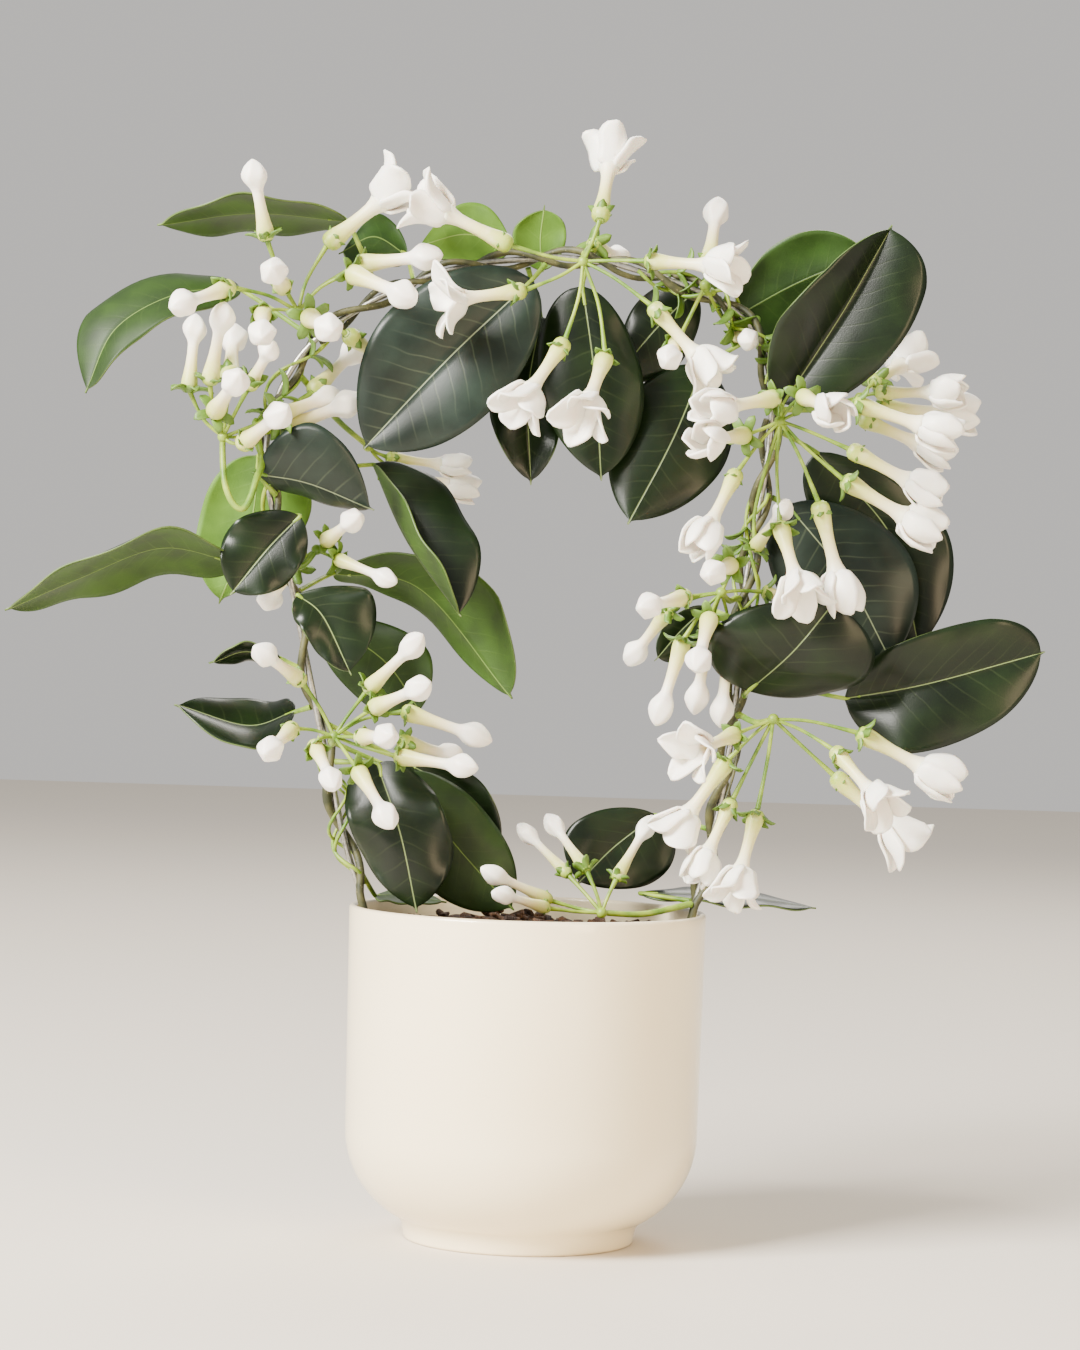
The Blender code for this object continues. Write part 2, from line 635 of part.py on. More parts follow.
def open_flower(name, profile, centre, axis, spin, rise, collection):
    """A tube turned from a profile, whose mouth spreads into thick pointed petals, as one closed body."""
    turn = Vector((0, 0, 1)).rotation_difference(axis)
    verts, faces = [], []

    def put(radius, angle, height):
        verts.append(centre + turn @ Vector((radius * math.cos(angle), radius * math.sin(angle), height)))
        return len(verts) - 1

    step = 2 * math.pi / FLOWER_SIDES
    rings = [[put(radius, spin + step * i, height) for i in range(FLOWER_SIDES)]
             for radius, height in profile]
    for low, high in zip(rings, rings[1:]):
        for i in range(FLOWER_SIDES):
            j = (i + 1) % FLOWER_SIDES
            faces.append([low[i], low[j], high[j], high[i]])
    faces.append(rings[0])
    mouth_radius, mouth = profile[-1]
    inner = [put(mouth_radius * 0.8, spin + step * i, mouth + PETAL_THICKNESS) for i in range(FLOWER_SIDES)]
    faces.append(inner)
    up, out = math.sin(rise), math.cos(rise)
    for i in range(FLOWER_SIDES):
        j = (i + 1) % FLOWER_SIDES
        middle = spin + step * (i + 0.5)
        root = mouth_radius * math.cos(step / 2)
        reach = root + PETAL_LENGTH * 0.5 * out
        half = min(PETAL_WIDTH / 2, 0.86 * reach * math.tan(step / 2))
        swing, far = math.atan2(half, reach), math.hypot(reach, half)
        height = mouth + PETAL_LENGTH * 0.5 * up
        tip = root + PETAL_LENGTH * out
        lift, pull = PETAL_THICKNESS * out, PETAL_THICKNESS * up
        under = [put(far, middle - swing, height), put(far, middle + swing, height),
                 put(tip, middle, mouth + PETAL_LENGTH * up)]
        over = [put(far - pull, middle - swing, height + lift),
                put(far - pull, middle + swing, height + lift),
                put(tip - pull, middle, mouth + PETAL_LENGTH * up + lift)]
        a, b = rings[-1][i], rings[-1][j]
        c, d = inner[i], inner[j]
        faces += [[a, b, under[1], under[0]], [under[0], under[1], under[2]]]
        faces += [[c, d, over[1], over[0]], [over[0], over[1], over[2]]]
        faces += [[a, under[0], over[0], c], [under[0], under[2], over[2], over[0]]]
        faces += [[b, under[1], over[1], d], [under[1], under[2], over[2], over[1]]]
    return add_object(name, mesh_from(name, verts, faces), collection)


def flower(name, kind, foot, end, lean, number, collection):
    length = BUD_LENGTH if kind == "bud" else TUBE_LENGTH
    start, tip = flower_end(foot, end, lean, length)
    axis = (tip - start).normalized()
    span = (tip - start).length
    spin = 0.9 * number
    shape = BUD if kind == "bud" else THROAT
    girth = min(1.08, max(0.85, span / length))
    profile = [(radius * girth, height * span) for radius, height in shape]
    if kind == "bud":
        return start, axis, turned(name, profile, FLOWER_SIDES, collection, start, axis, spin)
    rise = math.radians({"cup": CUP_OPEN, "half": HALF_OPEN, "open": FULLY_OPEN}[kind])
    return start, axis, open_flower(name, profile, start, axis, spin, rise, collection)


def build_umbel(name, hub, flowers, collection, mat):
    centre = seen(*hub)
    ball = turned(name + "_hub", [(0.0, -HUB_RADIUS), (HUB_RADIUS * 0.9, -1.0), (HUB_RADIUS * 0.9, 1.0),
                                  (0.0, HUB_RADIUS)], 6, collection, centre)
    start, out = seat(centre)
    bend = out.lerp(centre, 0.5) + Vector((0, 0, -2))
    stalk = tube(name + "_peduncle", [start, out, bend, centre], [PEDUNCLE_RADIUS] * 4, collection, 0)
    pieces = [ball, stalk]
    for number, (kind, foot, end, lean) in enumerate(flowers):
        label = "%s_%d" % (name, number)
        base, axis, corolla = flower(label, kind, foot, end, lean, number, collection)
        arc = centre.lerp(base, 0.55) - axis * 0.12 * (base - centre).length
        pedicel = tube(label + "_pedicel", [centre, arc, base + axis * 2.0],
                       [PEDICEL_RADIUS, PEDICEL_RADIUS, PEDICEL_RADIUS * 1.2], collection, 0)
        pieces += [pedicel, corolla]
    return join(name, pieces, collection, mat)


# Assembly

for old in list(bpy.data.objects):
    bpy.data.objects.remove(old)

plant = bpy.data.collections.new("madagascar_jasmine")
bpy.context.scene.collection.children.link(plant)

glaze = material("cream_glaze", CREAM, 0.25)
bark = material("potting_bark", BARK, 0.95)
steel = material("galvanised_wire", STEEL, 0.35, 1.0)
vine = material("vine_bark", VINE, 0.7)
green = material("glossy_leaf", GLOSSY_GREEN, 0.3)
olive = material("leaf_underside", UNDERSIDE_GREEN, 0.55)
white = material("waxy_petal", WAXY_WHITE, 0.45)

build_pot(plant, glaze)
earth = build_soil(plant, bark)

hoop = hoop_route(66)
wire = tube("wire_hoop", hoop, [WIRE_RADIUS] * len(hoop), plant, 1)
wire.data.materials.append(steel)
smooth(wire)

for stem_name, stem_route in STEM_ROUTES.items():
    count = len(stem_route)
    thickness = [STEM_RADIUS * (1.0 - 0.35 * i / count) for i in range(count)]
    stem = tube(stem_name, stem_route, thickness, plant, 1)
    stem.data.materials.append(vine)
    smooth(stem)

holes = [(hoop, WIRE_RADIUS + GAP)]
for route in STEM_ROUTES.values():
    holes.append(([spot for spot in route[:14] if spot.z < RIM_HEIGHT], STEM_RADIUS + GAP))
cut_holes(earth, holes, bark)

for leaf_name, side, midrib, left, right in LEAVES:
    build_leaf(leaf_name, midrib, left, right, plant, green if side == "upper" else olive)

for umbel_name, hub, flowers in UMBELS:
    build_umbel(umbel_name, hub, flowers, plant, white)
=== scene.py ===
"""Madagascar jasmine trained round a wire hoop in a cream pot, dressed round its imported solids.

A place in the lists below is written in millimetres as it shows from the front:
(across, up, depth), read on the plane through the pot's axis, depth away from the viewer.
"""
import math
import random

import bmesh
import bpy
from mathutils import Matrix, Vector, noise


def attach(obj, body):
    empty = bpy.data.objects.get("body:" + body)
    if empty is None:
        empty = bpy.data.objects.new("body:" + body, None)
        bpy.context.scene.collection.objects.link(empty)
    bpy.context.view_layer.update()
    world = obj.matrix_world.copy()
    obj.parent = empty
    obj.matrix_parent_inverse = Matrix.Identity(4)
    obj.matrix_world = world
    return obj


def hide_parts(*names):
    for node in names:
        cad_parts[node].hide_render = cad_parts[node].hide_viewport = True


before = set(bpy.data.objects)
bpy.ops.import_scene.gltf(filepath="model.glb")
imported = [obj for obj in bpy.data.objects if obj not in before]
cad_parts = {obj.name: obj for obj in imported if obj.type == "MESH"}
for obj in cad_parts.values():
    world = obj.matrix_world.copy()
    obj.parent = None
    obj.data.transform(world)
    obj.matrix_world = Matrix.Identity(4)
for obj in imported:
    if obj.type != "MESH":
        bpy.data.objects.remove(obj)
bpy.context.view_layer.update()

bpy.ops.object.select_all(action="DESELECT")

# Camera: a long lens from a metre and a half away, a little above the middle of the
# plant, held with a slight tilt.
MM = 0.001
EYE = Vector((0.0, -1528.0, 240.8))
LENS = 103.9
LOOK_DOWN, LOOK_RIGHT, TILT = 0.0126, 0.0013, 0.0304

view = bpy.data.cameras.new("front_view")
view.lens = LENS
view.sensor_width = 36.0
view.clip_start, view.clip_end = 0.05, 50.0
camera = bpy.data.objects.new("front_view", view)
bpy.context.scene.collection.objects.link(camera)
camera.matrix_world = (Matrix.Translation(EYE * MM) @ Matrix.Rotation(-LOOK_RIGHT, 4, "Z")
                       @ Matrix.Rotation(math.pi / 2 - LOOK_DOWN, 4, "X") @ Matrix.Rotation(TILT, 4, "Z"))
bpy.context.scene.camera = camera


# Floor and light: matt pale studio floor, a large soft light high on the left, a weaker
# one on the right and pale air all round.
def linear(code):
    """Linear red, green, blue and alpha of an sRGB hex colour."""
    shades = [int(code[i:i + 2], 16) / 255 for i in (1, 3, 5)]
    return [c / 12.92 if c <= 0.04045 else ((c + 0.055) / 1.055) ** 2.4 for c in shades] + [1.0]


def add_node(tree, kind, inputs=None, **settings):
    """Adds a node, sets its options, and sets or links its inputs."""
    item = tree.nodes.new(kind)
    for key, value in settings.items():
        setattr(item, key, value)
    for name, value in (inputs or {}).items():
        if isinstance(value, bpy.types.NodeSocket):
            tree.links.new(value, item.inputs[name])
        else:
            item.inputs[name].default_value = value
    return item


def new_finish(name):
    """An empty material, its tree and its shader."""
    finish = bpy.data.materials.new(name)
    finish.use_nodes = True
    return finish, finish.node_tree, finish.node_tree.nodes["Principled BSDF"]


bpy.ops.mesh.primitive_plane_add(size=8.0, location=(0, 0, 0))
floor = bpy.context.object
floor.name = "studio_floor"
painted, tree, shader = new_finish("matt_floor_paint")
shader.inputs["Base Color"].default_value = linear("#D8CFC2")
shader.inputs["Roughness"].default_value = 0.8
floor.data.materials.append(painted)

air = bpy.data.worlds.new("pale_air")
air.use_nodes = True
air.node_tree.nodes["Background"].inputs["Color"].default_value = linear("#F1EEEA")
air.node_tree.nodes["Background"].inputs["Strength"].default_value = 0.74
bpy.context.scene.world = air

for name, place, width, height, power, colour in (
        ("window_left", (-1.5, -1.3, 1.5), 1.0, 1.0, 275.0, "#FFFCF6"),
        ("window_right", (1.03, -1.47, 0.55), 0.5, 1.4, 24.0, "#FFE1B4"),
        ("window_back", (0.5, 1.6, 1.6), 1.0, 1.0, 26.0, "#FFFAF2")):
    lamp = bpy.data.lights.new(name, "AREA")
    lamp.shape = "RECTANGLE"
    lamp.size, lamp.size_y = width, height
    lamp.energy = power
    lamp.color = linear(colour)[:3]
    holder = bpy.data.objects.new(name, lamp)
    bpy.context.scene.collection.objects.link(holder)
    holder.location = place
    holder.rotation_euler = (Vector((0, 0, 0.22)) - Vector(place)).to_track_quat("-Z", "Y").to_euler()



# Pot: slip-cast stoneware, straight and faintly flared, on a short turned foot. Its cream
# glaze is smooth and satin, thinner and warmer where it runs off the lip and the foot.
RIM_RADIUS, RIM_HEIGHT = 70.0, 130.0
WAIST_RADIUS, CORNER_RADIUS, CORNER_HEIGHT = 69.1, 38.0, 42.5
FOOT_RADIUS, FOOT_HEIGHT = 46.0, 6.2
WALL = 2.8


def turn_profile(name, profile, sides, close_start=True, close_end=True):
    """A round body pulled up ring by ring from (radius, height) pairs in millimetres."""
    radius, height = profile[0]
    bpy.ops.mesh.primitive_circle_add(vertices=sides, radius=radius * MM, location=(0, 0, height * MM),
                                      fill_type="NGON" if close_start else "NOTHING")
    body = bpy.context.object
    body.name = name
    bpy.ops.object.transform_apply(location=True)
    bpy.ops.object.mode_set(mode="EDIT")
    bpy.ops.mesh.select_all(action="SELECT")
    for next_radius, next_height in profile[1:]:
        bpy.ops.mesh.extrude_region_move(
            TRANSFORM_OT_translate={"value": (0, 0, (next_height - height) * MM)})
        share = next_radius / radius
        bpy.ops.transform.resize(value=(share, share, 1), center_override=(0, 0, next_height * MM))
        radius, height = next_radius, next_height
    if close_end and not close_start:
        bpy.ops.mesh.edge_face_add()
    bpy.ops.mesh.select_all(action="SELECT")
    bpy.ops.mesh.normals_make_consistent(inside=False)
    bpy.ops.object.mode_set(mode="OBJECT")
    bpy.ops.object.shade_smooth()
    return body


def arc(centre, radius, first, last, steps):
    """Points of an arc in a profile, its angles in degrees from straight out."""
    turns = [math.radians(first + (last - first) * i / steps) for i in range(steps + 1)]
    return [(centre[0] + radius * math.cos(a), centre[1] + radius * math.sin(a)) for a in turns]


foot = [(38.0, 0.6), (41.5, 0.5), (43.0, 0.05)] + arc((FOOT_RADIUS - 1.9, 1.1), 1.1, -90, 0, 4)
foot += [(FOOT_RADIUS - 0.35, 4.0), (FOOT_RADIUS + 0.1, FOOT_HEIGHT - 0.4)]
belly = arc((WAIST_RADIUS - CORNER_RADIUS, CORNER_HEIGHT), CORNER_RADIUS, -64, 0, 26)
side = [(WAIST_RADIUS + (RIM_RADIUS - 0.05 - WAIST_RADIUS) * i / 6, CORNER_HEIGHT + 83.0 * i / 6) for i in range(1, 7)]
lip = arc((RIM_RADIUS - WALL / 2, RIM_HEIGHT - WALL / 2), WALL / 2, 0, 180, 10)
inside = [(RIM_RADIUS - WALL, 122.0), (WAIST_RADIUS - WALL, 60.0), (WAIST_RADIUS - WALL, CORNER_HEIGHT)]
inside += arc((WAIST_RADIUS - CORNER_RADIUS, CORNER_HEIGHT), CORNER_RADIUS - WALL, 0, -60, 8)[1:] + [(20.0, 11.2), (0.4, 11.2)]
pot = turn_profile("glazed_pot", [(0.4, 0.6)] + foot + belly + side + lip + inside, 112)

glaze, tree, shader = new_finish("satin_cream_glaze")
place = add_node(tree, "ShaderNodeTexCoord")
# Uneven glaze thickness, in patches about 40 mm wide
patches = add_node(tree, "ShaderNodeTexNoise", {"Vector": place.outputs["Object"], "Scale": 24.0, "Detail": 2.0})
tone = add_node(tree, "ShaderNodeMix", {"Factor": patches.outputs["Fac"], "A": linear("#FFF0CB"),
                                        "B": linear("#FBE9BF")}, data_type="RGBA")
height = add_node(tree, "ShaderNodeSeparateXYZ", {"Vector": place.outputs["Object"]})
# Thin glaze over the last millimetre of the lip and down at the foot
lip_edge = add_node(tree, "ShaderNodeMapRange", {"Value": height.outputs["Z"], "From Min": 0.1286,
                                                 "From Max": 0.1300}, interpolation_type="SMOOTHSTEP")
foot_edge = add_node(tree, "ShaderNodeMapRange", {"Value": height.outputs["Z"], "From Min": 0.0016,
                                                  "From Max": 0.0002}, interpolation_type="SMOOTHSTEP")
thin = add_node(tree, "ShaderNodeMath", {0: lip_edge.outputs["Result"], 1: foot_edge.outputs["Result"]},
                operation="MAXIMUM")
thin = add_node(tree, "ShaderNodeMath", {0: thin.outputs["Value"], 1: 0.55}, operation="MULTIPLY")
tone = add_node(tree, "ShaderNodeMix", {"Factor": thin.outputs["Value"], "A": tone.outputs["Result"],
                                        "B": linear("#D9C6A4")}, data_type="RGBA")
# Pinhead specks of iron, 0.3 mm across and sparse
specks = add_node(tree, "ShaderNodeTexVoronoi", {"Vector": place.outputs["Object"], "Scale": 260.0})
speck = add_node(tree, "ShaderNodeMapRange", {"Value": specks.outputs["Distance"], "From Min": 0.05,
                                              "From Max": 0.03, "To Max": 0.3})
tone = add_node(tree, "ShaderNodeMix", {"Factor": speck.outputs["Result"], "A": tone.outputs["Result"],
                                        "B": linear("#C9B48E")}, data_type="RGBA")
tree.links.new(tone.outputs["Result"], shader.inputs["Base Color"])
sheen = add_node(tree, "ShaderNodeMapRange", {"Value": patches.outputs["Fac"], "To Min": 0.27, "To Max": 0.36})
tree.links.new(sheen.outputs["Result"], shader.inputs["Roughness"])
shader.inputs["IOR"].default_value = 1.5
shader.inputs["Coat Weight"].default_value = 0.8
shader.inputs["Coat Roughness"].default_value = 0.06
# Orange-peel waviness of a dipped glaze, about 5 mm from wave to wave
peel = add_node(tree, "ShaderNodeTexNoise", {"Vector": place.outputs["Object"], "Scale": 190.0, "Detail": 1.0})
dip = add_node(tree, "ShaderNodeBump", {"Height": peel.outputs["Fac"], "Strength": 0.06, "Distance": 0.0006})
tree.links.new(dip.outputs["Normal"], shader.inputs["Normal"])
pot.data.materials.append(glaze)
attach(pot, "root")
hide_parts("pot")


# Potting mix: fine dark peat, mounded to the middle, under loose chips of composted bark
# two to nine millimetres long that lie on it at all angles.
SOIL_EDGE, SOIL_MOUND = 120.5, 5.0


def soil_top(x, y):
    """Height of the mix's uneven surface."""
    reach = 1.0 - min(math.hypot(x + 14, y) / 62.0, 1.0)
    lumps = 1.1 * math.sin(0.21 * x + 1.3) * math.sin(0.25 * y + 0.4) + 0.7 * math.sin(0.43 * x - 0.36 * y)
    edge = min(1.0, (RIM_RADIUS - WALL - math.hypot(x, y)) / 12.0)
    return SOIL_EDGE + SOIL_MOUND * reach + lumps * edge


bpy.ops.mesh.primitive_circle_add(vertices=96, radius=66.9 * MM, location=(0, 0, SOIL_EDGE * MM), fill_type="NGON")
mix = bpy.context.object
mix.name = "peat_bed"
bpy.ops.object.transform_apply(location=True)
bpy.ops.object.mode_set(mode="EDIT")
bpy.ops.mesh.select_all(action="SELECT")
for ring in range(22):
    bpy.ops.mesh.inset(thickness=2.9 * MM)
bpy.ops.mesh.poke()
bpy.ops.mesh.select_all(action="SELECT")
bpy.ops.mesh.normals_make_consistent(inside=False)
bpy.ops.object.mode_set(mode="OBJECT")
for corner in mix.data.vertices:
    x, y = corner.co.x / MM, corner.co.y / MM
    crumb = noise.noise(Vector((x * 0.35, y * 0.35, 1.0))) * 0.8 + noise.noise(Vector((x, y, 4.0))) * 0.5
    away = math.hypot(x, y)
    corner.co.z = (soil_top(x, y) + (crumb if away < 66 else 0)) * MM
skirt = mix.modifiers.new("depth", "SOLIDIFY")
skirt.thickness = 6 * MM
skirt.offset = -1.0
bpy.ops.object.modifier_apply(modifier="depth")
bpy.ops.object.shade_smooth()

peat, tree, shader = new_finish("damp_peat")
place = add_node(tree, "ShaderNodeTexCoord")
crumbs = add_node(tree, "ShaderNodeTexNoise", {"Vector": place.outputs["Object"], "Scale": 700.0, "Detail": 5.0})
colour = add_node(tree, "ShaderNodeValToRGB", {"Fac": crumbs.outputs["Fac"]})
colour.color_ramp.elements[0].color = linear("#1B120C")
colour.color_ramp.elements[0].position = 0.36
colour.color_ramp.elements[1].color = linear("#5A4130")
colour.color_ramp.elements[1].position = 0.72
tree.links.new(colour.outputs["Color"], shader.inputs["Base Color"])
shader.inputs["Roughness"].default_value = 0.95
rough = add_node(tree, "ShaderNodeBump", {"Height": crumbs.outputs["Fac"], "Strength": 0.9, "Distance": 0.0012})
tree.links.new(rough.outputs["Normal"], shader.inputs["Normal"])
mix.data.materials.append(peat)
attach(mix, "root")
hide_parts("soil")

bark, tree, shader = new_finish("composted_pine_bark")
place = add_node(tree, "ShaderNodeTexCoord")
# Bark layers half a millimetre thick show as light and dark streaks
layers = add_node(tree, "ShaderNodeTexWave", {"Vector": place.outputs["Object"], "Scale": 420.0, "Distortion": 6.0,
                                              "Detail": 3.0})
patch = add_node(tree, "ShaderNodeTexNoise", {"Vector": place.outputs["Object"], "Scale": 130.0, "Detail": 3.0})
colour = add_node(tree, "ShaderNodeValToRGB", {"Fac": patch.outputs["Fac"]})
colour.color_ramp.elements[0].color = linear("#2A1A11")
colour.color_ramp.elements[0].position = 0.35
colour.color_ramp.elements[1].color = linear("#7A5538")
colour.color_ramp.elements[1].position = 0.7
streaks = add_node(tree, "ShaderNodeMapRange", {"Value": layers.outputs["Fac"], "To Min": 0.0, "To Max": 0.45})
colour = add_node(tree, "ShaderNodeMix", {"Factor": streaks.outputs["Result"], "A": colour.outputs["Color"],
                                          "B": linear("#1E130C")}, data_type="RGBA")
tree.links.new(colour.outputs["Result"], shader.inputs["Base Color"])
shader.inputs["Roughness"].default_value = 0.85
rough = add_node(tree, "ShaderNodeBump", {"Height": layers.outputs["Fac"], "Strength": 0.5, "Distance": 0.0004})
tree.links.new(rough.outputs["Normal"], shader.inputs["Normal"])


def join_pieces(name, pieces):
    """One object from several, at the origin, with their materials."""
    bpy.ops.object.select_all(action="DESELECT")
    for piece in pieces:
        piece.select_set(True)
    bpy.context.view_layer.objects.active = pieces[0]
    bpy.ops.object.join()
    whole = bpy.context.object
    whole.name = whole.data.name = name
    whole.select_set(False)
    return whole


def copy_placed(source, matrix):
    """A copy of a piece with its own mesh, its place put into the mesh."""
    mesh = source.data.copy()
    mesh.transform(matrix)
    twin = bpy.data.objects.new(source.name, mesh)
    bpy.context.scene.collection.objects.link(twin)
    return twin


bpy.ops.mesh.primitive_cube_add(size=1.0, location=(0, 0, 0), scale=(6 * MM, 3.4 * MM, 1.6 * MM))
chip = bpy.context.object
chip.name = "bark_chip"
bpy.ops.object.transform_apply(scale=True)
chipped = chip.modifiers.new("worn", "BEVEL")
chipped.width = 0.5 * MM
chipped.segments = 1
bpy.ops.object.modifier_apply(modifier="worn")
for corner in chip.data.vertices:
    corner.co += noise.noise_vector(corner.co / MM * 0.6) * 0.55 * MM
chip.data.materials.append(bark)
scatter = random.Random(7)
chips = []
for number in range(230):
    away, round_ = 64.0 * math.sqrt(scatter.random()), scatter.uniform(0, 2 * math.pi)
    x, y = away * math.cos(round_), away * math.sin(round_)
    size = scatter.uniform(0.45, 1.35)
    lie = (Matrix.Rotation(scatter.uniform(0, 6.28), 4, "Z") @ Matrix.Rotation(scatter.uniform(-0.5, 0.5), 4, "X")
           @ Matrix.Rotation(scatter.uniform(-0.4, 0.4), 4, "Y") @ Matrix.Diagonal((size, size, size, 1)))
    lift = soil_top(x, y) + scatter.uniform(0.2, 1.3)
    chips.append(copy_placed(chip, Matrix.Translation(Vector((x, y, lift)) * MM) @ lie))
bpy.data.objects.remove(chip)
chips = join_pieces("bark_chips", chips)
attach(chips, "root")


# Wire hoop: one length of galvanised steel wire 2.5 mm thick, bent by hand into an uneven
# oval, with both ends pushed down into the mix.
WIRE_RADIUS = 1.25
HOOP = [(-60, 66), (-62, 112), (-65, 131), (-72, 152), (-78, 176), (-84, 200),
        (-90, 226), (-97, 256), (-105, 284), (-108, 306), (-103, 330), (-90, 350),
        (-66, 367), (-38, 379), (-11, 384), (14, 385), (40, 380), (66, 371),
        (82, 358), (89, 338), (89, 314), (86, 290), (82, 264), (80, 238),
        (79, 212), (76, 186), (71, 156), (65, 131), (62, 112), (60, 66)]


def seen(across, up, depth=0.0):
    """Place, in millimetres, that shows at (across, up) when it is moved to a depth."""
    away = (depth - EYE.y) / -EYE.y
    return Vector((across * away, depth, EYE.z + (up - EYE.z) * away))


def through(points, steps):
    """Evenly numbered points of a smooth route through the given ones."""
    spans = len(points) - 1
    route = []
    for step in range(steps + 1):
        place = step / steps * spans
        span = min(int(place), spans - 1)
        t = place - span
        p1, p2 = points[span], points[span + 1]
        p0 = points[span - 1] if span > 0 else p1 * 2 - p2
        p3 = points[span + 2] if span + 2 <= spans else p2 * 2 - p1
        route.append(0.5 * (2 * p1 + (p2 - p0) * t + (2 * p0 - 5 * p1 + 4 * p2 - p3) * t ** 2
                            + (3 * p1 - p0 - 3 * p2 + p3) * t ** 3))
    return route


def round_length(name, route, radii, finish, resolution=3):
    """A round wire, stem or stalk along a route, as a mesh with closed ends."""
    curve = bpy.data.curves.new(name, "CURVE")
    curve.dimensions = "3D"
    curve.bevel_depth = MM
    curve.bevel_resolution = resolution
    curve.use_fill_caps = True
    spline = curve.splines.new("POLY")
    spline.points.add(len(route) - 1)
    for corner, place, radius in zip(spline.points, route, radii):
        corner.co = (*(place * MM), 1.0)
        corner.radius = radius
    spline.use_smooth = True
    length = bpy.data.objects.new(name, curve)
    bpy.context.scene.collection.objects.link(length)
    bpy.ops.object.select_all(action="DESELECT")
    length.select_set(True)
    bpy.context.view_layer.objects.active = length
    bpy.ops.object.convert(target="MESH")
    length = bpy.context.object
    length.data.materials.clear()
    length.data.materials.append(finish)
    length.select_set(False)
    return length


wire_route = through([seen(across, up) for across, up in HOOP], 240)
zinc, tree, shader = new_finish("galvanised_wire")
place = add_node(tree, "ShaderNodeTexCoord")
# Zinc spangle, in flakes about a millimetre wide
flakes = add_node(tree, "ShaderNodeTexVoronoi", {"Vector": place.outputs["Object"], "Scale": 900.0})
tone = add_node(tree, "ShaderNodeMix", {"Factor": flakes.outputs["Color"], "A": linear("#8C8A84"),
                                        "B": linear("#B9B6AD")}, data_type="RGBA")
tree.links.new(tone.outputs["Result"], shader.inputs["Base Color"])
shader.inputs["Metallic"].default_value = 1.0
dull = add_node(tree, "ShaderNodeMapRange", {"Value": flakes.outputs["Distance"], "To Min": 0.3, "To Max": 0.5})
tree.links.new(dull.outputs["Result"], shader.inputs["Roughness"])
hoop = round_length("galvanised_hoop", wire_route, [WIRE_RADIUS] * len(wire_route), zinc)
bpy.context.view_layer.objects.active = hoop
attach(hoop, "root")
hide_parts("wire_hoop")


# Vine stems: three shoots of olive-brown young bark wound round the wire, thinning towards
# their tips and thickened at each pair of leaves.
STEM_RADIUS, STEM_TURNS, STEM_STEPS = 1.7, 13, 8
PEDUNCLE_RADIUS, GAP = 1.3, 0.3
FRONT, BACK = -math.pi / 2, math.pi / 2
STEMS = [("stem_left", 0.040, 0.640, FRONT), ("stem_right", 0.960, 0.380, BACK),
         ("stem_right_short", 0.960, 0.665, FRONT)]


def twining_route(start, end, phase):
    """A stem's route round the wire between two shares of its length, straight where it enters the pot."""
    lengths = [0.0]
    for a, b in zip(wire_route, wire_route[1:]):
        lengths.append(lengths[-1] + (b - a).length)
    buried = next(length for length, place in zip(lengths, wire_route) if place.z > RIM_HEIGHT + 3)
    free = lengths[-1] - 2 * buried
    steps = round(abs(end - start) * STEM_TURNS * STEM_STEPS)
    route = []
    for step in range(steps + 1):
        at = (start + (end - start) * step / steps) * lengths[-1]
        k = min(max(i for i, length in enumerate(lengths) if length <= at), len(wire_route) - 2)
        place = wire_route[k].lerp(wire_route[k + 1], (at - lengths[k]) / (lengths[k + 1] - lengths[k]))
        along = (wire_route[min(k + 2, len(wire_route) - 1)] - wire_route[max(k - 1, 0)]).normalized()
        out = Vector((0, 1, 0)).cross(along).normalized()
        back = along.cross(out)
        turned_by = min(max((at - buried) / free, 0.0), 1.0) * STEM_TURNS
        angle = phase + 2 * math.pi * turned_by
        reach = WIRE_RADIUS + STEM_RADIUS + GAP
        route.append(place + (out * math.cos(angle) + back * math.sin(angle)) * reach)
    return route


stem_routes = {name: twining_route(start, end, phase) for name, start, end, phase in STEMS}

young_bark, tree, shader = new_finish("olive_young_bark")
place = add_node(tree, "ShaderNodeTexCoord")
# Patches of green and brown bark a few millimetres long, with pale pores 0.4 mm across
patch = add_node(tree, "ShaderNodeTexNoise", {"Vector": place.outputs["Object"], "Scale": 150.0, "Detail": 4.0})
colour = add_node(tree, "ShaderNodeValToRGB", {"Fac": patch.outputs["Fac"]})
colour.color_ramp.elements[0].color = linear("#262B12")
colour.color_ramp.elements[0].position = 0.38
colour.color_ramp.elements[1].color = linear("#56542E")
colour.color_ramp.elements[1].position = 0.66
pores = add_node(tree, "ShaderNodeTexVoronoi", {"Vector": place.outputs["Object"], "Scale": 520.0})
pore = add_node(tree, "ShaderNodeMapRange", {"Value": pores.outputs["Distance"], "From Min": 0.22,
                                             "From Max": 0.1, "To Max": 0.6})
colour = add_node(tree, "ShaderNodeMix", {"Factor": pore.outputs["Result"], "A": colour.outputs["Color"],
                                          "B": linear("#857C55")}, data_type="RGBA")
tree.links.new(colour.outputs["Result"], shader.inputs["Base Color"])
shader.inputs["Roughness"].default_value = 0.62
ridge = add_node(tree, "ShaderNodeBump", {"Height": pore.outputs["Result"], "Strength": 0.5, "Distance": 0.0003})
tree.links.new(ridge.outputs["Normal"], shader.inputs["Normal"])

for name, _, _, _ in STEMS:
    spine = through(stem_routes[name], 3 * (len(stem_routes[name]) - 1))
    count = len(spine)
    girth = [STEM_RADIUS * (1.0 - 0.35 * i / count) * (1 + 0.22 * max(0.0, math.cos(i * 0.21)) ** 8)
             for i in range(count)]
    vine = round_length(name.replace("stem", "vine"), spine, girth, young_bark)
    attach(vine, "root")
    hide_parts(name)


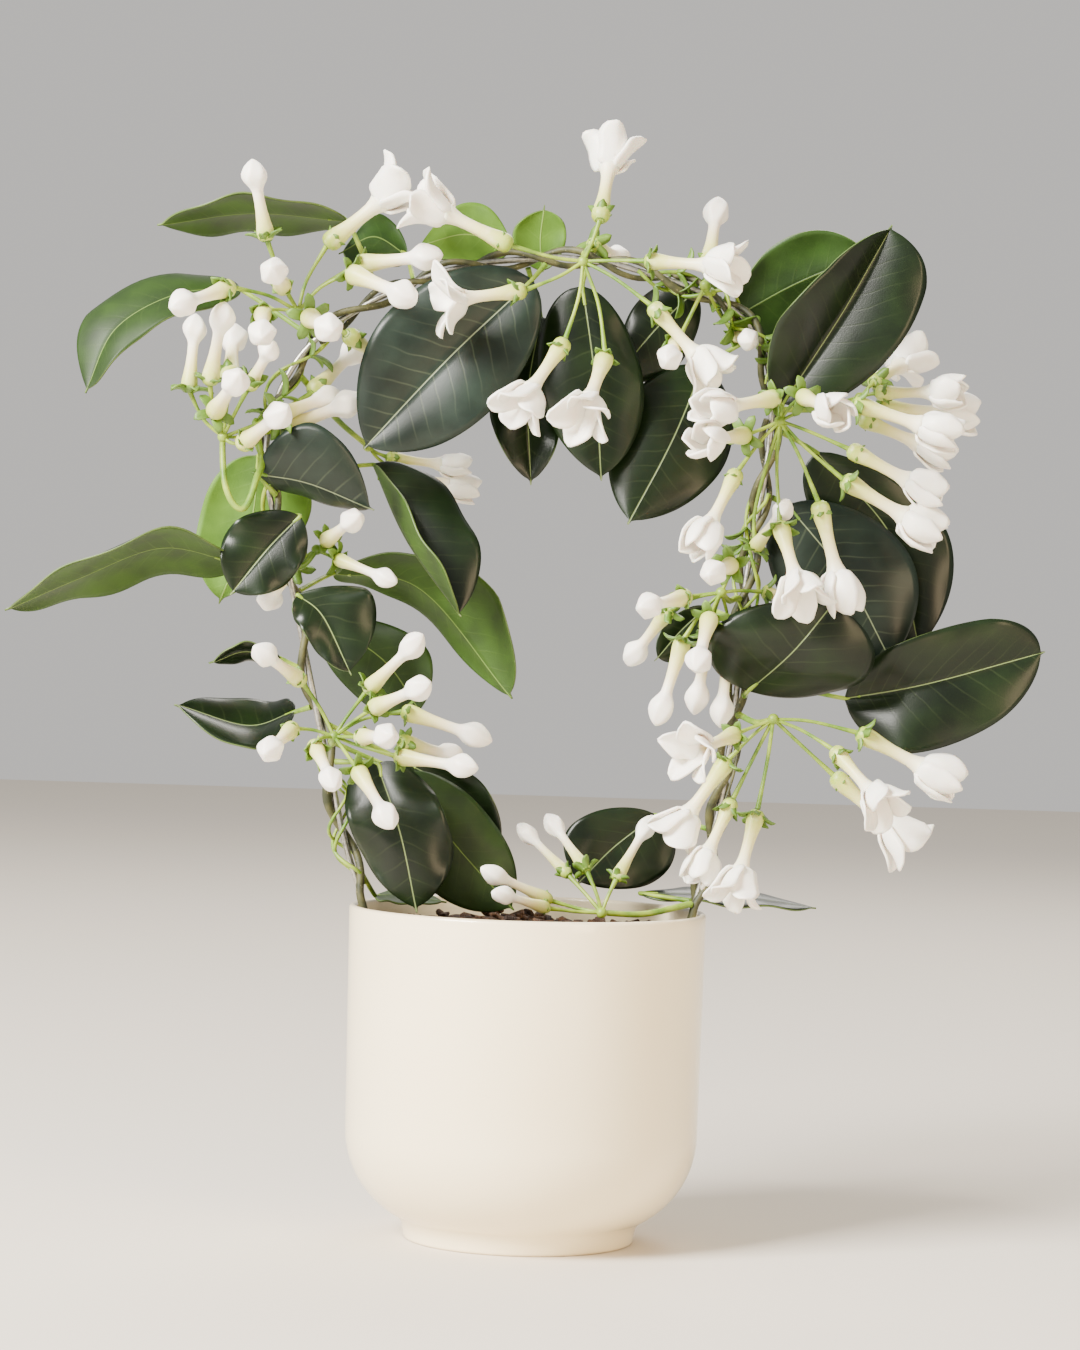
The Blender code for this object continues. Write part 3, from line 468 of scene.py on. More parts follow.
# Leaves: thick leathery ovals with a short point, folded a little along a sunken midrib,
# glossy dark green above and matt olive below, each on a short stalk.
BLADE = 0.7
POINT = 2.2
PETIOLE_RADIUS = 1.1
# Name, side that shows, midrib from base to tip, one edge, the other edge
LEAVES = [
    ("leaf_top_left", "under", [(-79, 397, 4), (-116, 399, 0), (-151, 393.5, -4)],
     [(-118, 406, -21)], [(-115, 391, 20)]),
    ("leaf_left_arching", "upper", [(-120, 369, 10), (-145, 366, 2), (-168, 352, -4), (-178.5, 328.5, -8)],
     [(-146, 374, 16), (-180, 358, 8)], [(-140, 359, -8), (-162, 347, -14)]),
    ("leaf_left_long", "under", [(-118, 262, 0), (-148, 267, -8), (-180, 254, -14), (-206.5, 241.5, -18)],
     [(-146, 274, -30), (-181, 260, -32)], [(-148, 255, 8), (-178, 246, 4)]),
    ("leaf_centre_top", "upper", [(-6, 376, -8), (-38, 344, -12), (-68.5, 309.5, -12)],
     [(-60, 364, -14)], [(-20, 325, -16)]),
    ("leaf_below_centre", "upper", [(14, 374, 2), (20, 338, -4), (23.5, 300.5, -6)],
     [(-2, 338, 0)], [(39, 337, -2)]),
    ("leaf_folded_centre", "upper", [(-2, 362, 14), (-6, 332, 14), (-4, 298, 10)],
     [(-21, 330, 8)], [(8, 330, 10)]),
    ("leaf_right_centre", "upper", [(62, 344, 14), (51, 315, 0), (35.5, 283.5, -6)],
     [(30, 323, 6)], [(72, 307, 4)]),
    ("leaf_behind_right", "upper", [(58, 374, 18), (42, 357, 16), (30, 341, 14)],
     [(36, 369, 20)], [(52, 344, 18)]),
    ("leaf_top_right", "upper", [(94, 331, -8), (116, 367, -10), (133.5, 400, -10)],
     [(91, 363, -24), (110, 384, -26)], [(130, 344, -14), (149, 377, -14)]),
    ("leaf_top_right_back", "under", [(74, 364, 20), (98, 378, 20), (125, 390, 16)],
     [(94, 396, 16)], [(104, 360, 24)]),
    ("leaf_right_grey", "upper", [(97, 291, 8), (121, 263, 2), (139, 232, 2)],
     [(144, 275, 6)], [(99, 250, 8)]),
    ("leaf_right_dark", "upper", [(108, 312, 20), (138, 280, 20), (150, 238, 14)],
     [(159, 284, 20)], [(118, 268, 22)]),
    ("leaf_right_round", "upper", [(84, 218, -14), (101, 234, -28), (116, 253, -30)],
     [(71, 243, -28)], [(130, 225, -24)]),
    ("leaf_right_long", "upper", [(122, 216, 0), (153, 222.5, -8), (197.5, 236, -6)],
     [(142, 238, -14), (177, 249, -12)], [(146, 195, -12), (178, 206, -12)]),
    ("leaf_left_grey", "upper", [(-111, 297, -10), (-91, 294, -14), (-67, 285, -14)],
     [(-88, 317, -18)], [(-90, 288, -4)]),
    ("leaf_left_pale", "under", [(-111, 304, 12), (-113, 278, 14), (-124, 247.5, 16)],
     [(-133, 281, 14)], [(-90, 282, 12)]),
    ("leaf_left_dark", "upper", [(-94, 281, -9), (-106, 268, -11), (-119, 251, -14)],
     [(-121, 276, -12)], [(-96, 257, -13)]),
    ("leaf_folded_long", "upper", [(-66, 302, 20), (-52, 273, -2), (-31, 245, -10)],
     [(-46, 275, -20)], [(-29, 283, 2)]),
    ("leaf_low_centre", "under", [(-80, 259, 30), (-46, 254, 26), (-10, 213.5, 12)],
     [(-50, 268, 16), (-16, 252, 8)], [(-62, 253, 36), (-37, 236, 30)]),
    ("leaf_left_inner", "upper", [(-94, 250, -9), (-84, 242, -10), (-73, 221, -12)],
     [(-65, 251, -8)], [(-91, 235, -14)]),
    ("leaf_left_inner_back", "upper", [(-82, 240, 20), (-59, 225, 16), (-45, 206.5, 12)],
     [(-45, 233, 16)], [(-71, 212, 18)]),
    ("leaf_left_small", "upper", [(-100, 225, -4), (-114, 227.5, -8), (-126, 223, -12)],
     [(-114, 231, -14)], [(-113, 223.5, -2)]),
    ("leaf_left_narrow", "upper", [(-94, 204, 8), (-112, 198, 4), (-139, 205, -4)],
     [(-108, 208, 16)], [(-111, 189, -12)]),
    ("leaf_low_left_front", "upper", [(-61, 185, -8), (-51, 158, -18), (-44, 129, -18)],
     [(-73, 168, -12), (-65, 148, -14)], [(-38, 174, -14), (-30, 150, -16)]),
    ("leaf_low_left_bright", "upper", [(-50, 181, 6), (-31, 156, -2), (-7, 130.5, -2)],
     [(-16, 165, 4)], [(-42, 140, -2)]),
    ("leaf_low_left_back", "upper", [(-50, 186, 18), (-28, 174, 16), (-12, 153, 12)],
     [(-20, 179, 12)], [(-37, 164, 18)]),
    ("leaf_on_rim_left", "under", [(-60, 133, 16), (-50, 133.5, 22), (-34, 131.5, 26)],
     [(-48, 136, 34)], [(-51, 130.5, 12)]),
    ("leaf_low_round", "upper", [(49, 168, 34), (33, 155, 32), (20, 141, 26)],
     [(17, 164, 30)], [(52, 144, 34)]),
    ("leaf_on_rim_right", "upper", [(44, 137, 18), (78, 137, 24), (111, 133.5, 28)],
     [(76, 139, 42)], [(80, 133.5, 11)]),
    ("leaf_top_round", "under", [(-2, 380, 16), (-3, 392, 15), (-2, 403.5, 12)],
     [(-14, 393, 12)], [(7, 394, 13)]),
    ("leaf_top_pale", "under", [(-15, 388, 18), (-32, 393, 16), (-50, 388, 14)],
     [(-30, 406, 22)], [(-34, 383, 9)]),
    ("leaf_top_small", "under", [(-55, 384, 20), (-68, 391, 20), (-80, 385, 16)],
     [(-66, 400, 26)], [(-69, 381, 14)]),
    ("leaf_right_small", "upper", [(66, 250, 14), (56, 240, 12), (48, 230, 8)],
     [(51, 244, 10)], [(60, 232, 12)]),
]
# The leaves that aren't the usual green of their side
YOUNG = ("leaf_left_pale", "leaf_top_pale", "leaf_top_round", "leaf_low_left_bright", "leaf_left_arching",
         "leaf_left_inner_back")
DARK = ("leaf_top_right_back", "leaf_top_small")
WAVY = ("leaf_left_dark", "leaf_left_inner", "leaf_low_left_front", "leaf_folded_centre")
# The leaves whose dark green is painted blue-grey for the sheen of light they reflect
PAINTED_SHEEN = ("leaf_left_grey", "leaf_right_grey", "leaf_centre_top")


def is_clear(start, end, own):
    """Whether a stalk between two places keeps off the wire and off every stem but its own."""
    wire_reach = WIRE_RADIUS + PEDUNCLE_RADIUS + GAP
    stem_reach = STEM_RADIUS + PEDUNCLE_RADIUS + GAP
    for step in range(11):
        spot = start.lerp(end, step / 10)
        if any((spot - place).length < wire_reach for place in wire_route):
            return False
        for name, route in stem_routes.items():
            if name != own and any((spot - place).length < stem_reach for place in route):
                return False
        if any((spot - place).length < 2 * PEDUNCLE_RADIUS + GAP for place in taken):
            return False
    return True


taken = []


def seat(place):
    """Where a stalk from a place meets the nearest open stretch of a stem, and a point straight out from there."""
    choices = [(point, name) for name, route in stem_routes.items() for point in route[2:-2]
               if point.z > RIM_HEIGHT + 2]
    choices.sort(key=lambda choice: (choice[0] - place).length)
    seats = []
    for point, name in choices:
        near = point + (place - point).normalized() * (STEM_RADIUS + GAP)
        seats.append(near)
        if is_clear(near, place, name):
            break
    else:
        near = seats[0]
    taken.extend(near.lerp(place, step / 14) for step in range(15))
    return near, near + (place - near).normalized() * 2.5


def outline(t):
    """Share of a blade's full width at a share of its length."""
    return max((4 * t * (1 - t)) ** (0.52 + 0.22 * t), 0.03) if 0 < t < 1 else 0.03


def blend(values, t):
    """A value between evenly spaced ones, the ends held."""
    if len(values) == 1:
        return values[0]
    gap = 1 / (len(values) + 1)
    place = min(max(t / gap - 1, 0.0), len(values) - 1.0)
    k = min(int(place), len(values) - 2)
    return values[k].lerp(values[k + 1], place - k)


def blade_sides(midrib, edge):
    """Full-width reach from the midrib to an edge, at each of the edge's points."""
    reaches = []
    for number, spot in enumerate(edge):
        t = (number + 1) / (len(edge) + 1)
        reaches.append((seen(*spot) - through(midrib, 24)[round(24 * t)]) / outline(t))
    return reaches


def leaf_skin(name, deep, flesh, vein, gloss, vein_depth, coat, side_veins):
    """Skin of one side of a leaf, with its midrib and side veins laid out along the blade."""
    finish, tree, shader = new_finish(name)
    place = add_node(tree, "ShaderNodeTexCoord")
    blade = add_node(tree, "ShaderNodeAttribute", attribute_name="blade")
    parts = add_node(tree, "ShaderNodeSeparateXYZ", {"Vector": blade.outputs["Vector"]})
    off = add_node(tree, "ShaderNodeMath", {0: parts.outputs["X"]}, operation="ABSOLUTE")
    share = parts.outputs["Z"]
    # Midrib half a millimetre wide, fading into the flesh on either side
    rib = add_node(tree, "ShaderNodeMapRange", {"Value": off.outputs["Value"], "From Min": 0.00038,
                                                "From Max": 0.00012}, interpolation_type="SMOOTHSTEP")
    # Side veins every 7 mm, leaning towards the tip and lost before the margin
    slant = add_node(tree, "ShaderNodeMath", {0: off.outputs["Value"], 1: -0.55, 2: parts.outputs["Y"]},
                     operation="MULTIPLY_ADD")
    wobble = add_node(tree, "ShaderNodeTexNoise", {"Vector": place.outputs["Object"], "Scale": 70.0, "Detail": 1.0})
    slant = add_node(tree, "ShaderNodeMath", {0: wobble.outputs["Fac"], 1: 0.004, 2: slant.outputs["Value"]},
                     operation="MULTIPLY_ADD")
    beat = add_node(tree, "ShaderNodeMath", {0: slant.outputs["Value"], 1: 0.0035}, operation="PINGPONG")
    line = add_node(tree, "ShaderNodeMapRange", {"Value": beat.outputs["Value"], "From Min": 0.00055,
                                                 "From Max": 0.0001}, interpolation_type="SMOOTHSTEP")
    fade = add_node(tree, "ShaderNodeMapRange", {"Value": share, "From Min": 0.85, "From Max": 0.2, "To Max": 0.6})
    line = add_node(tree, "ShaderNodeMath", {0: line.outputs["Result"], 1: fade.outputs["Result"]},
                    operation="MULTIPLY")
    # Flesh clouded in patches 15 mm wide, with cells a third of a millimetre across
    cloud = add_node(tree, "ShaderNodeTexNoise", {"Vector": place.outputs["Object"], "Scale": 65.0, "Detail": 4.0})
    spread = add_node(tree, "ShaderNodeMapRange", {"Value": cloud.outputs["Fac"], "From Min": 0.35, "From Max": 0.68})
    colour = add_node(tree, "ShaderNodeMix", {"Factor": spread.outputs["Result"], "A": linear(deep),
                                              "B": linear(flesh)}, data_type="RGBA")
    margin = add_node(tree, "ShaderNodeMapRange", {"Value": share, "From Min": 0.86, "From Max": 1.0, "To Max": 0.45})
    colour = add_node(tree, "ShaderNodeMix", {"Factor": margin.outputs["Result"], "A": colour.outputs["Result"],
                                              "B": linear(flesh)}, data_type="RGBA")
    veins = add_node(tree, "ShaderNodeMath", {0: line.outputs["Value"], 1: side_veins}, operation="MULTIPLY")
    colour = add_node(tree, "ShaderNodeMix", {"Factor": veins.outputs["Value"], "A": colour.outputs["Result"],
                                              "B": linear(vein)}, data_type="RGBA")
    bold = add_node(tree, "ShaderNodeMath", {0: rib.outputs["Result"], 1: 0.62}, operation="MULTIPLY")
    colour = add_node(tree, "ShaderNodeMix", {"Factor": bold.outputs["Value"], "A": colour.outputs["Result"],
                                              "B": linear(vein)}, data_type="RGBA")
    tree.links.new(colour.outputs["Result"], shader.inputs["Base Color"])
    dull = add_node(tree, "ShaderNodeMapRange", {"Value": cloud.outputs["Fac"], "To Min": gloss - 0.06,
                                                 "To Max": gloss + 0.1})
    tree.links.new(dull.outputs["Result"], shader.inputs["Roughness"])
    shader.inputs["IOR"].default_value = 1.42
    shader.inputs["Specular IOR Level"].default_value = 0.36
    shader.inputs["Coat Weight"].default_value = coat
    shader.inputs["Coat Roughness"].default_value = 0.22
    cells = add_node(tree, "ShaderNodeTexVoronoi", {"Vector": place.outputs["Object"], "Scale": 1500.0})
    relief = add_node(tree, "ShaderNodeMath", {0: cells.outputs["Distance"], 1: 0.14}, operation="MULTIPLY")
    relief = add_node(tree, "ShaderNodeMath", {0: line.outputs["Value"], 1: 0.25, 2: relief.outputs["Value"]},
                      operation="MULTIPLY_ADD")
    relief = add_node(tree, "ShaderNodeMath", {0: rib.outputs["Result"], 1: 1.6, 2: relief.outputs["Value"]},
                      operation="MULTIPLY_ADD")
    groove = add_node(tree, "ShaderNodeBump", {"Height": relief.outputs["Value"], "Strength": 0.5,
                                               "Distance": vein_depth})
    tree.links.new(groove.outputs["Normal"], shader.inputs["Normal"])
    return finish


glossy = leaf_skin("waxed_leaf_top", "#081206", "#101F08", "#8C9F66", 0.3, -0.0002, 0.06, 0.05)
# Painted sheen: dark green flesh greyed towards blue, the pale light these glossy leaves reflect put into their colour
sheen_painted = leaf_skin("painted_sheen_leaf_top", "#101A14", "#1D2A22", "#93A07C", 0.36, -0.0002, 0.06, 0.13)
fresh = leaf_skin("young_leaf_top", "#142605", "#22390A", "#6F8840", 0.55, -0.0002, 0.04, 0.05)
olive = leaf_skin("matt_leaf_underside", "#223708", "#33500F", "#6F8A38", 0.6, 0.0003, 0.0, 0.1)
pale_olive = leaf_skin("young_leaf_underside", "#3E5E15", "#577C24", "#8CA654", 0.58, 0.0003, 0.0, 0.1)
dark_olive = leaf_skin("shaded_leaf_underside", "#182C09", "#274210", "#6C8540", 0.45, 0.0003, 0.0, 0.06)

cut_edge, tree, shader = new_finish("leaf_margin")
place = add_node(tree, "ShaderNodeTexCoord")
tinge = add_node(tree, "ShaderNodeTexNoise", {"Vector": place.outputs["Object"], "Scale": 90.0})
colour = add_node(tree, "ShaderNodeMix", {"Factor": tinge.outputs["Fac"], "A": linear("#2C4214"),
                                          "B": linear("#5E7432")}, data_type="RGBA")
tree.links.new(colour.outputs["Result"], shader.inputs["Base Color"])
shader.inputs["Roughness"].default_value = 0.5

stalk_skin, tree, shader = new_finish("green_stalk_skin")
place = add_node(tree, "ShaderNodeTexCoord")
# Yellow and deep green blotches, a few millimetres long
tinge = add_node(tree, "ShaderNodeTexNoise", {"Vector": place.outputs["Object"], "Scale": 120.0, "Detail": 3.0})
colour = add_node(tree, "ShaderNodeValToRGB", {"Fac": tinge.outputs["Fac"]})
colour.color_ramp.elements[0].color = linear("#557A17")
colour.color_ramp.elements[0].position = 0.35
colour.color_ramp.elements[1].color = linear("#9BB036")
colour.color_ramp.elements[1].position = 0.7
tree.links.new(colour.outputs["Color"], shader.inputs["Base Color"])
shader.inputs["Roughness"].default_value = 0.45
fine = add_node(tree, "ShaderNodeTexNoise", {"Vector": place.outputs["Object"], "Scale": 1400.0})
ridge = add_node(tree, "ShaderNodeBump", {"Height": fine.outputs["Fac"], "Strength": 0.25, "Distance": 0.0002})
tree.links.new(ridge.outputs["Normal"], shader.inputs["Normal"])

BLADE_ROWS, BLADE_COLUMNS = 44, 18
for number, (name, shows, midrib, left, right) in enumerate(LEAVES):
    places = [seen(*spot) for spot in midrib]
    near, far = blade_sides(places, left), blade_sides(places, right)
    route = through(places, 200)
    length = sum((b - a).length for a, b in zip(route, route[1:]))
    bpy.ops.mesh.primitive_grid_add(x_subdivisions=BLADE_COLUMNS, y_subdivisions=BLADE_ROWS, size=2)
    leaf = bpy.context.object
    leaf.name = name.replace("leaf_", "") + "_leaf"
    layout = leaf.data.attributes.new("blade", "FLOAT_VECTOR", "POINT")
    across_all = places[-1] - places[0]
    facing = across_all.cross(blend(far, 0.5) - blend(near, 0.5)).normalized()
    towards = (EYE - route[100]).dot(facing) > 0
    upper = 1.0 if towards == (shows == "upper") else -1.0
    for corner in leaf.data.vertices:
        across = corner.co.x
        even = (corner.co.y + 1) / 2
        t = (even - 0.07 * math.sin(2 * math.pi * even)) * (1 + POINT / length)
        beyond, t = max(t - 1, 0.0) * length, min(max(t, 0.0), 1.0)
        k = min(int(t * 200), 199)
        middle = route[k].lerp(route[k + 1], t * 200 - k) + (route[200] - route[196]).normalized() * beyond
        along = (route[min(k + 4, 200)] - route[max(k - 3, 0)]).normalized()
        reach = blend(near if across < 0 else far, t)
        width = outline(t) * (1 - 0.8 * beyond / POINT)
        square = along.cross(blend(far, t) - blend(near, t)).normalized() * upper
        full = reach.length * width
        swell = 0.07 * full * math.sin(math.pi * min(abs(across), 1.0))
        wave = (0.05 if name in WAVY else 0.016) * length * abs(across) ** 3 * width * math.sin(2 * math.pi * 2.3 * t + number * 1.7)
        corner.co = (middle + reach * width * abs(across) + square * (swell + wave)) * MM
        layout.data[corner.index].vector = (across * full * MM, t * length * MM, abs(across))
    flip = sum((face.normal * face.area for face in leaf.data.polygons), Vector()).dot(facing * upper) < 0
    if flip:
        bpy.ops.object.mode_set(mode="EDIT")
        bpy.ops.mesh.select_all(action="SELECT")
        bpy.ops.mesh.flip_normals()
        bpy.ops.object.mode_set(mode="OBJECT")
    if shows == "upper":
        top = sheen_painted if name in PAINTED_SHEEN else fresh if name in YOUNG else glossy
        below = olive
    else:
        top = glossy
        below = pale_olive if name in YOUNG else dark_olive if name in DARK else olive
    for finish in (top, below, cut_edge):
        leaf.data.materials.append(finish)
    flesh = leaf.modifiers.new("flesh", "SOLIDIFY")
    flesh.thickness = BLADE * MM
    flesh.offset = 0.0
    flesh.material_offset = 1
    flesh.material_offset_rim = 2
    bpy.ops.object.modifier_apply(modifier="flesh")
    bpy.ops.object.shade_smooth()
    start, out = seat(places[0])
    inside = through(places, 10)[1]
    stalk_route = through([start, out, places[0], inside], 18)
    taper = [PETIOLE_RADIUS * (1.15 - 0.5 * i / 18) for i in range(19)]
    stalk = round_length("stalk", stalk_route, taper, stalk_skin, 2)
    leaf = join_pieces(leaf.name, [leaf, stalk])
    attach(leaf, "root")
    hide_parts(name)


# Flowers: clusters on green stalks. Each is a waxy white tube, swollen and greenish at its
# base in a calyx of five green points, ending in a closed bud or five thick spreading lobes.
BUD_LENGTH, TUBE_LENGTH, PETAL_LENGTH, PETAL_WIDTH = 36.0, 26.0, 17.0, 9.5
PEDICEL_RADIUS, HUB_RADIUS = 0.75, 2.3
BUD = [(1.3, 0.0), (2.6, 0.02), (3.35, 0.06), (3.5, 0.1), (3.3, 0.16), (2.8, 0.25), (2.35, 0.36),
       (2.1, 0.48), (2.1, 0.57), (2.25, 0.62), (2.8, 0.66), (3.8, 0.705), (4.6, 0.75), (4.95, 0.795),
       (4.75, 0.84), (4.1, 0.885), (3.1, 0.93), (1.8, 0.97), (0.35, 1.0)]
TUBE = [(1.3, 0.0), (2.7, 0.03), (3.4, 0.08), (3.5, 0.14), (3.2, 0.24), (2.6, 0.38), (2.25, 0.53),
        (2.2, 0.68), (2.35, 0.8), (2.9, 0.9), (3.6, 0.96), (4.0, 1.0), (3.5, 1.01), (2.6, 0.95),
        (1.9, 0.87), (1.6, 0.75)]

wax, tree, shader = new_finish("waxy_corolla")
place = add_node(tree, "ShaderNodeTexCoord")
rise = add_node(tree, "ShaderNodeAttribute", attribute_name="rise")
# Green at the calyx, cream along the tube and clean white on the lobes
tint = add_node(tree, "ShaderNodeValToRGB", {"Fac": rise.outputs["Fac"]})
tint.color_ramp.elements[0].color = linear("#98AD3C")
tint.color_ramp.elements[0].position = 0.03
tint.color_ramp.elements[1].color = linear("#FDF8EF")
tint.color_ramp.elements[1].position = 0.7
for position, code in ((0.12, "#BFC766"), (0.3, "#DBD88F"), (0.5, "#EFE6BE")):
    tint.color_ramp.elements.new(position).color = linear(code)
# Faint bruising in patches 4 mm wide
bruise = add_node(tree, "ShaderNodeTexNoise", {"Vector": place.outputs["Object"], "Scale": 240.0, "Detail": 3.0})
bruise = add_node(tree, "ShaderNodeMapRange", {"Value": bruise.outputs["Fac"], "From Min": 0.5, "From Max": 0.8,
                                               "To Max": 0.4})
colour = add_node(tree, "ShaderNodeMix", {"Factor": bruise.outputs["Result"], "A": tint.outputs["Color"],
                                          "B": linear("#EFE3CF")}, data_type="RGBA")
tree.links.new(colour.outputs["Result"], shader.inputs["Base Color"])
shader.inputs["Roughness"].default_value = 0.42
shader.inputs["IOR"].default_value = 1.42
shader.inputs["Subsurface Weight"].default_value = 0.12
shader.inputs["Subsurface Scale"].default_value = 0.0025
shader.inputs["Coat Weight"].default_value = 0.08
shader.inputs["Coat Roughness"].default_value = 0.3
grain = add_node(tree, "ShaderNodeTexNoise", {"Vector": place.outputs["Object"], "Scale": 1300.0, "Detail": 2.0})
pucker = add_node(tree, "ShaderNodeBump", {"Height": grain.outputs["Fac"], "Strength": 0.16, "Distance": 0.0003})
tree.links.new(pucker.outputs["Normal"], shader.inputs["Normal"])

sepal_skin, tree, shader = new_finish("calyx_green")
place = add_node(tree, "ShaderNodeTexCoord")
tinge = add_node(tree, "ShaderNodeTexNoise", {"Vector": place.outputs["Object"], "Scale": 260.0, "Detail": 2.0})
colour = add_node(tree, "ShaderNodeMix", {"Factor": tinge.outputs["Fac"], "A": linear("#345814"),
                                          "B": linear("#6C8C2C")}, data_type="RGBA")
tree.links.new(colour.outputs["Result"], shader.inputs["Base Color"])
shader.inputs["Roughness"].default_value = 0.5


def set_rise(piece, share):
    """Marks each corner of a flower with how far along the flower it lies."""
    mark = piece.data.attributes.new("rise", "FLOAT", "POINT")
    for corner in piece.data.vertices:
        mark.data[corner.index].value = share(corner.co)


def petal(name, length, width, bend, cup, thickness, root, base, rows, columns):
    """A lobe whose slope goes through three angles from root to tip, its margins turned up by cup."""
    bpy.ops.mesh.primitive_grid_add(x_subdivisions=columns, y_subdivisions=rows, size=2)
    lobe = bpy.context.object
    lobe.name = name
    spine, slopes = [Vector((root, 0, base))], []
    for step in range(101):
        half = step / 50
        angle = bend[0] + (bend[1] - bend[0]) * half if half < 1 else bend[1] + (bend[2] - bend[1]) * (half - 1)
        slopes.append(math.radians(angle))
        spine.append(spine[-1] + Vector((math.cos(slopes[-1]), 0, math.sin(slopes[-1]))) * length / 100)
    for corner in lobe.data.vertices:
        across, t = corner.co.x, (corner.co.y + 1) / 2
        k = min(int(t * 100), 99)
        up = Vector((-math.sin(slopes[k]), 0, math.cos(slopes[k])))
        body = 0.55 * (1 - t) ** 2 + math.sin(math.pi * t ** 1.05) ** 0.52
        half = width / 2 * max(min(body, 1.0), 0.06)
        spot = spine[k].lerp(spine[k + 1], t * 100 - k)
        spot = spot + Vector((0, 1, 0)) * half * across
        spot = spot + up * (cup * half * across * across - 0.35 * (1 - abs(across)) * math.sin(math.pi * t))
        corner.co = spot * MM
    body = lobe.modifiers.new("flesh", "SOLIDIFY")
    body.thickness = thickness * MM
    body.offset = 0.0
    bpy.ops.object.modifier_apply(modifier="flesh")
    bpy.ops.object.shade_smooth()
    return lobe


def star(name, part, base, lean=0.0, spread=0.0):
    """Five copies of a lobe round the flower's axis, each a little turned about its own length."""
    lift = Matrix.Translation((0, 0, base * MM))
    arms = []
    for number in range(5):
        wobble = spread * math.sin(number * 2.4)
        turn = (Matrix.Rotation(number * 2 * math.pi / 5 + wobble, 4, "Z")
                @ lift @ Matrix.Rotation(lean, 4, "X") @ lift.inverted())
        arms.append(copy_placed(part, turn))
    bpy.data.objects.remove(part)
    return join_pieces(name, arms)


def shape_head(piece):
    """Presses five winding furrows into the head of a bud, where the lobes overlap."""
    for corner in piece.data.vertices:
        share = corner.co.z / (BUD_LENGTH * MM)
        if share > 0.6:
            around = math.atan2(corner.co.y, corner.co.x) - (share - 0.6) * 2.2
            fold = (around / (2 * math.pi / 5)) % 1.0
            amount = min(1.0, (share - 0.6) / 0.12)
            facet = math.cos(math.pi / 5) / math.cos((fold - 0.5) * 2 * math.pi / 5)
            deep = math.exp(-((min(fold, 1 - fold)) / 0.09) ** 2)
            press = 1 + amount * (1.12 * facet ** 0.9 - 1 - 0.06 * deep)
            corner.co.x *= press
            corner.co.y *= press


bud_shape = turn_profile("bud", [(radius, share * BUD_LENGTH) for radius, share in BUD], 30)
shape_head(bud_shape)
set_rise(bud_shape, lambda co: co.z / (BUD_LENGTH * MM) * 1.05)
bud_shape.data.materials.append(wax)

opened = {}
for kind, bend, width, cup in (("open", (60.0, 40.0, 4.0), 10.4, 0.24), ("half", (58.0, 70.0, 30.0), 11.0, 0.34),
                               ("cup", (48.0, 88.0, 106.0), 10.6, 0.45)):
    tube = turn_profile("tube", [(radius, share * TUBE_LENGTH) for radius, share in TUBE], 20)
    set_rise(tube, lambda co: co.z / (TUBE_LENGTH * MM) * 0.62)
    tube.data.materials.append(wax)
    lobe = petal("lobe", PETAL_LENGTH, width, bend, cup, 0.9, 2.7, TUBE_LENGTH - 0.7, 12, 6)
    set_rise(lobe, lambda co: 0.72 + 0.28 * min(1.0, co.xy.length / (12 * MM)))
    lobe.data.materials.append(wax)
    lobes = star("lobes", lobe, TUBE_LENGTH, 0.24, 0.06)
    opened[kind] = join_pieces(kind + "_flower", [tube, lobes])

calyxes = []
for bend in ((62.0, 30.0, 0.0), (48.0, 0.0, -34.0), (78.0, 62.0, 40.0)):
    sepal = petal("sepal", 7.2, 3.6, bend, 0.35, 0.45, 1.4, 0.0, 5, 2)
    set_rise(sepal, lambda co: 0.0)
    sepal.data.materials.append(sepal_skin)
    calyxes.append(star("calyx", sepal, 0.0, 0.1, 0.2))

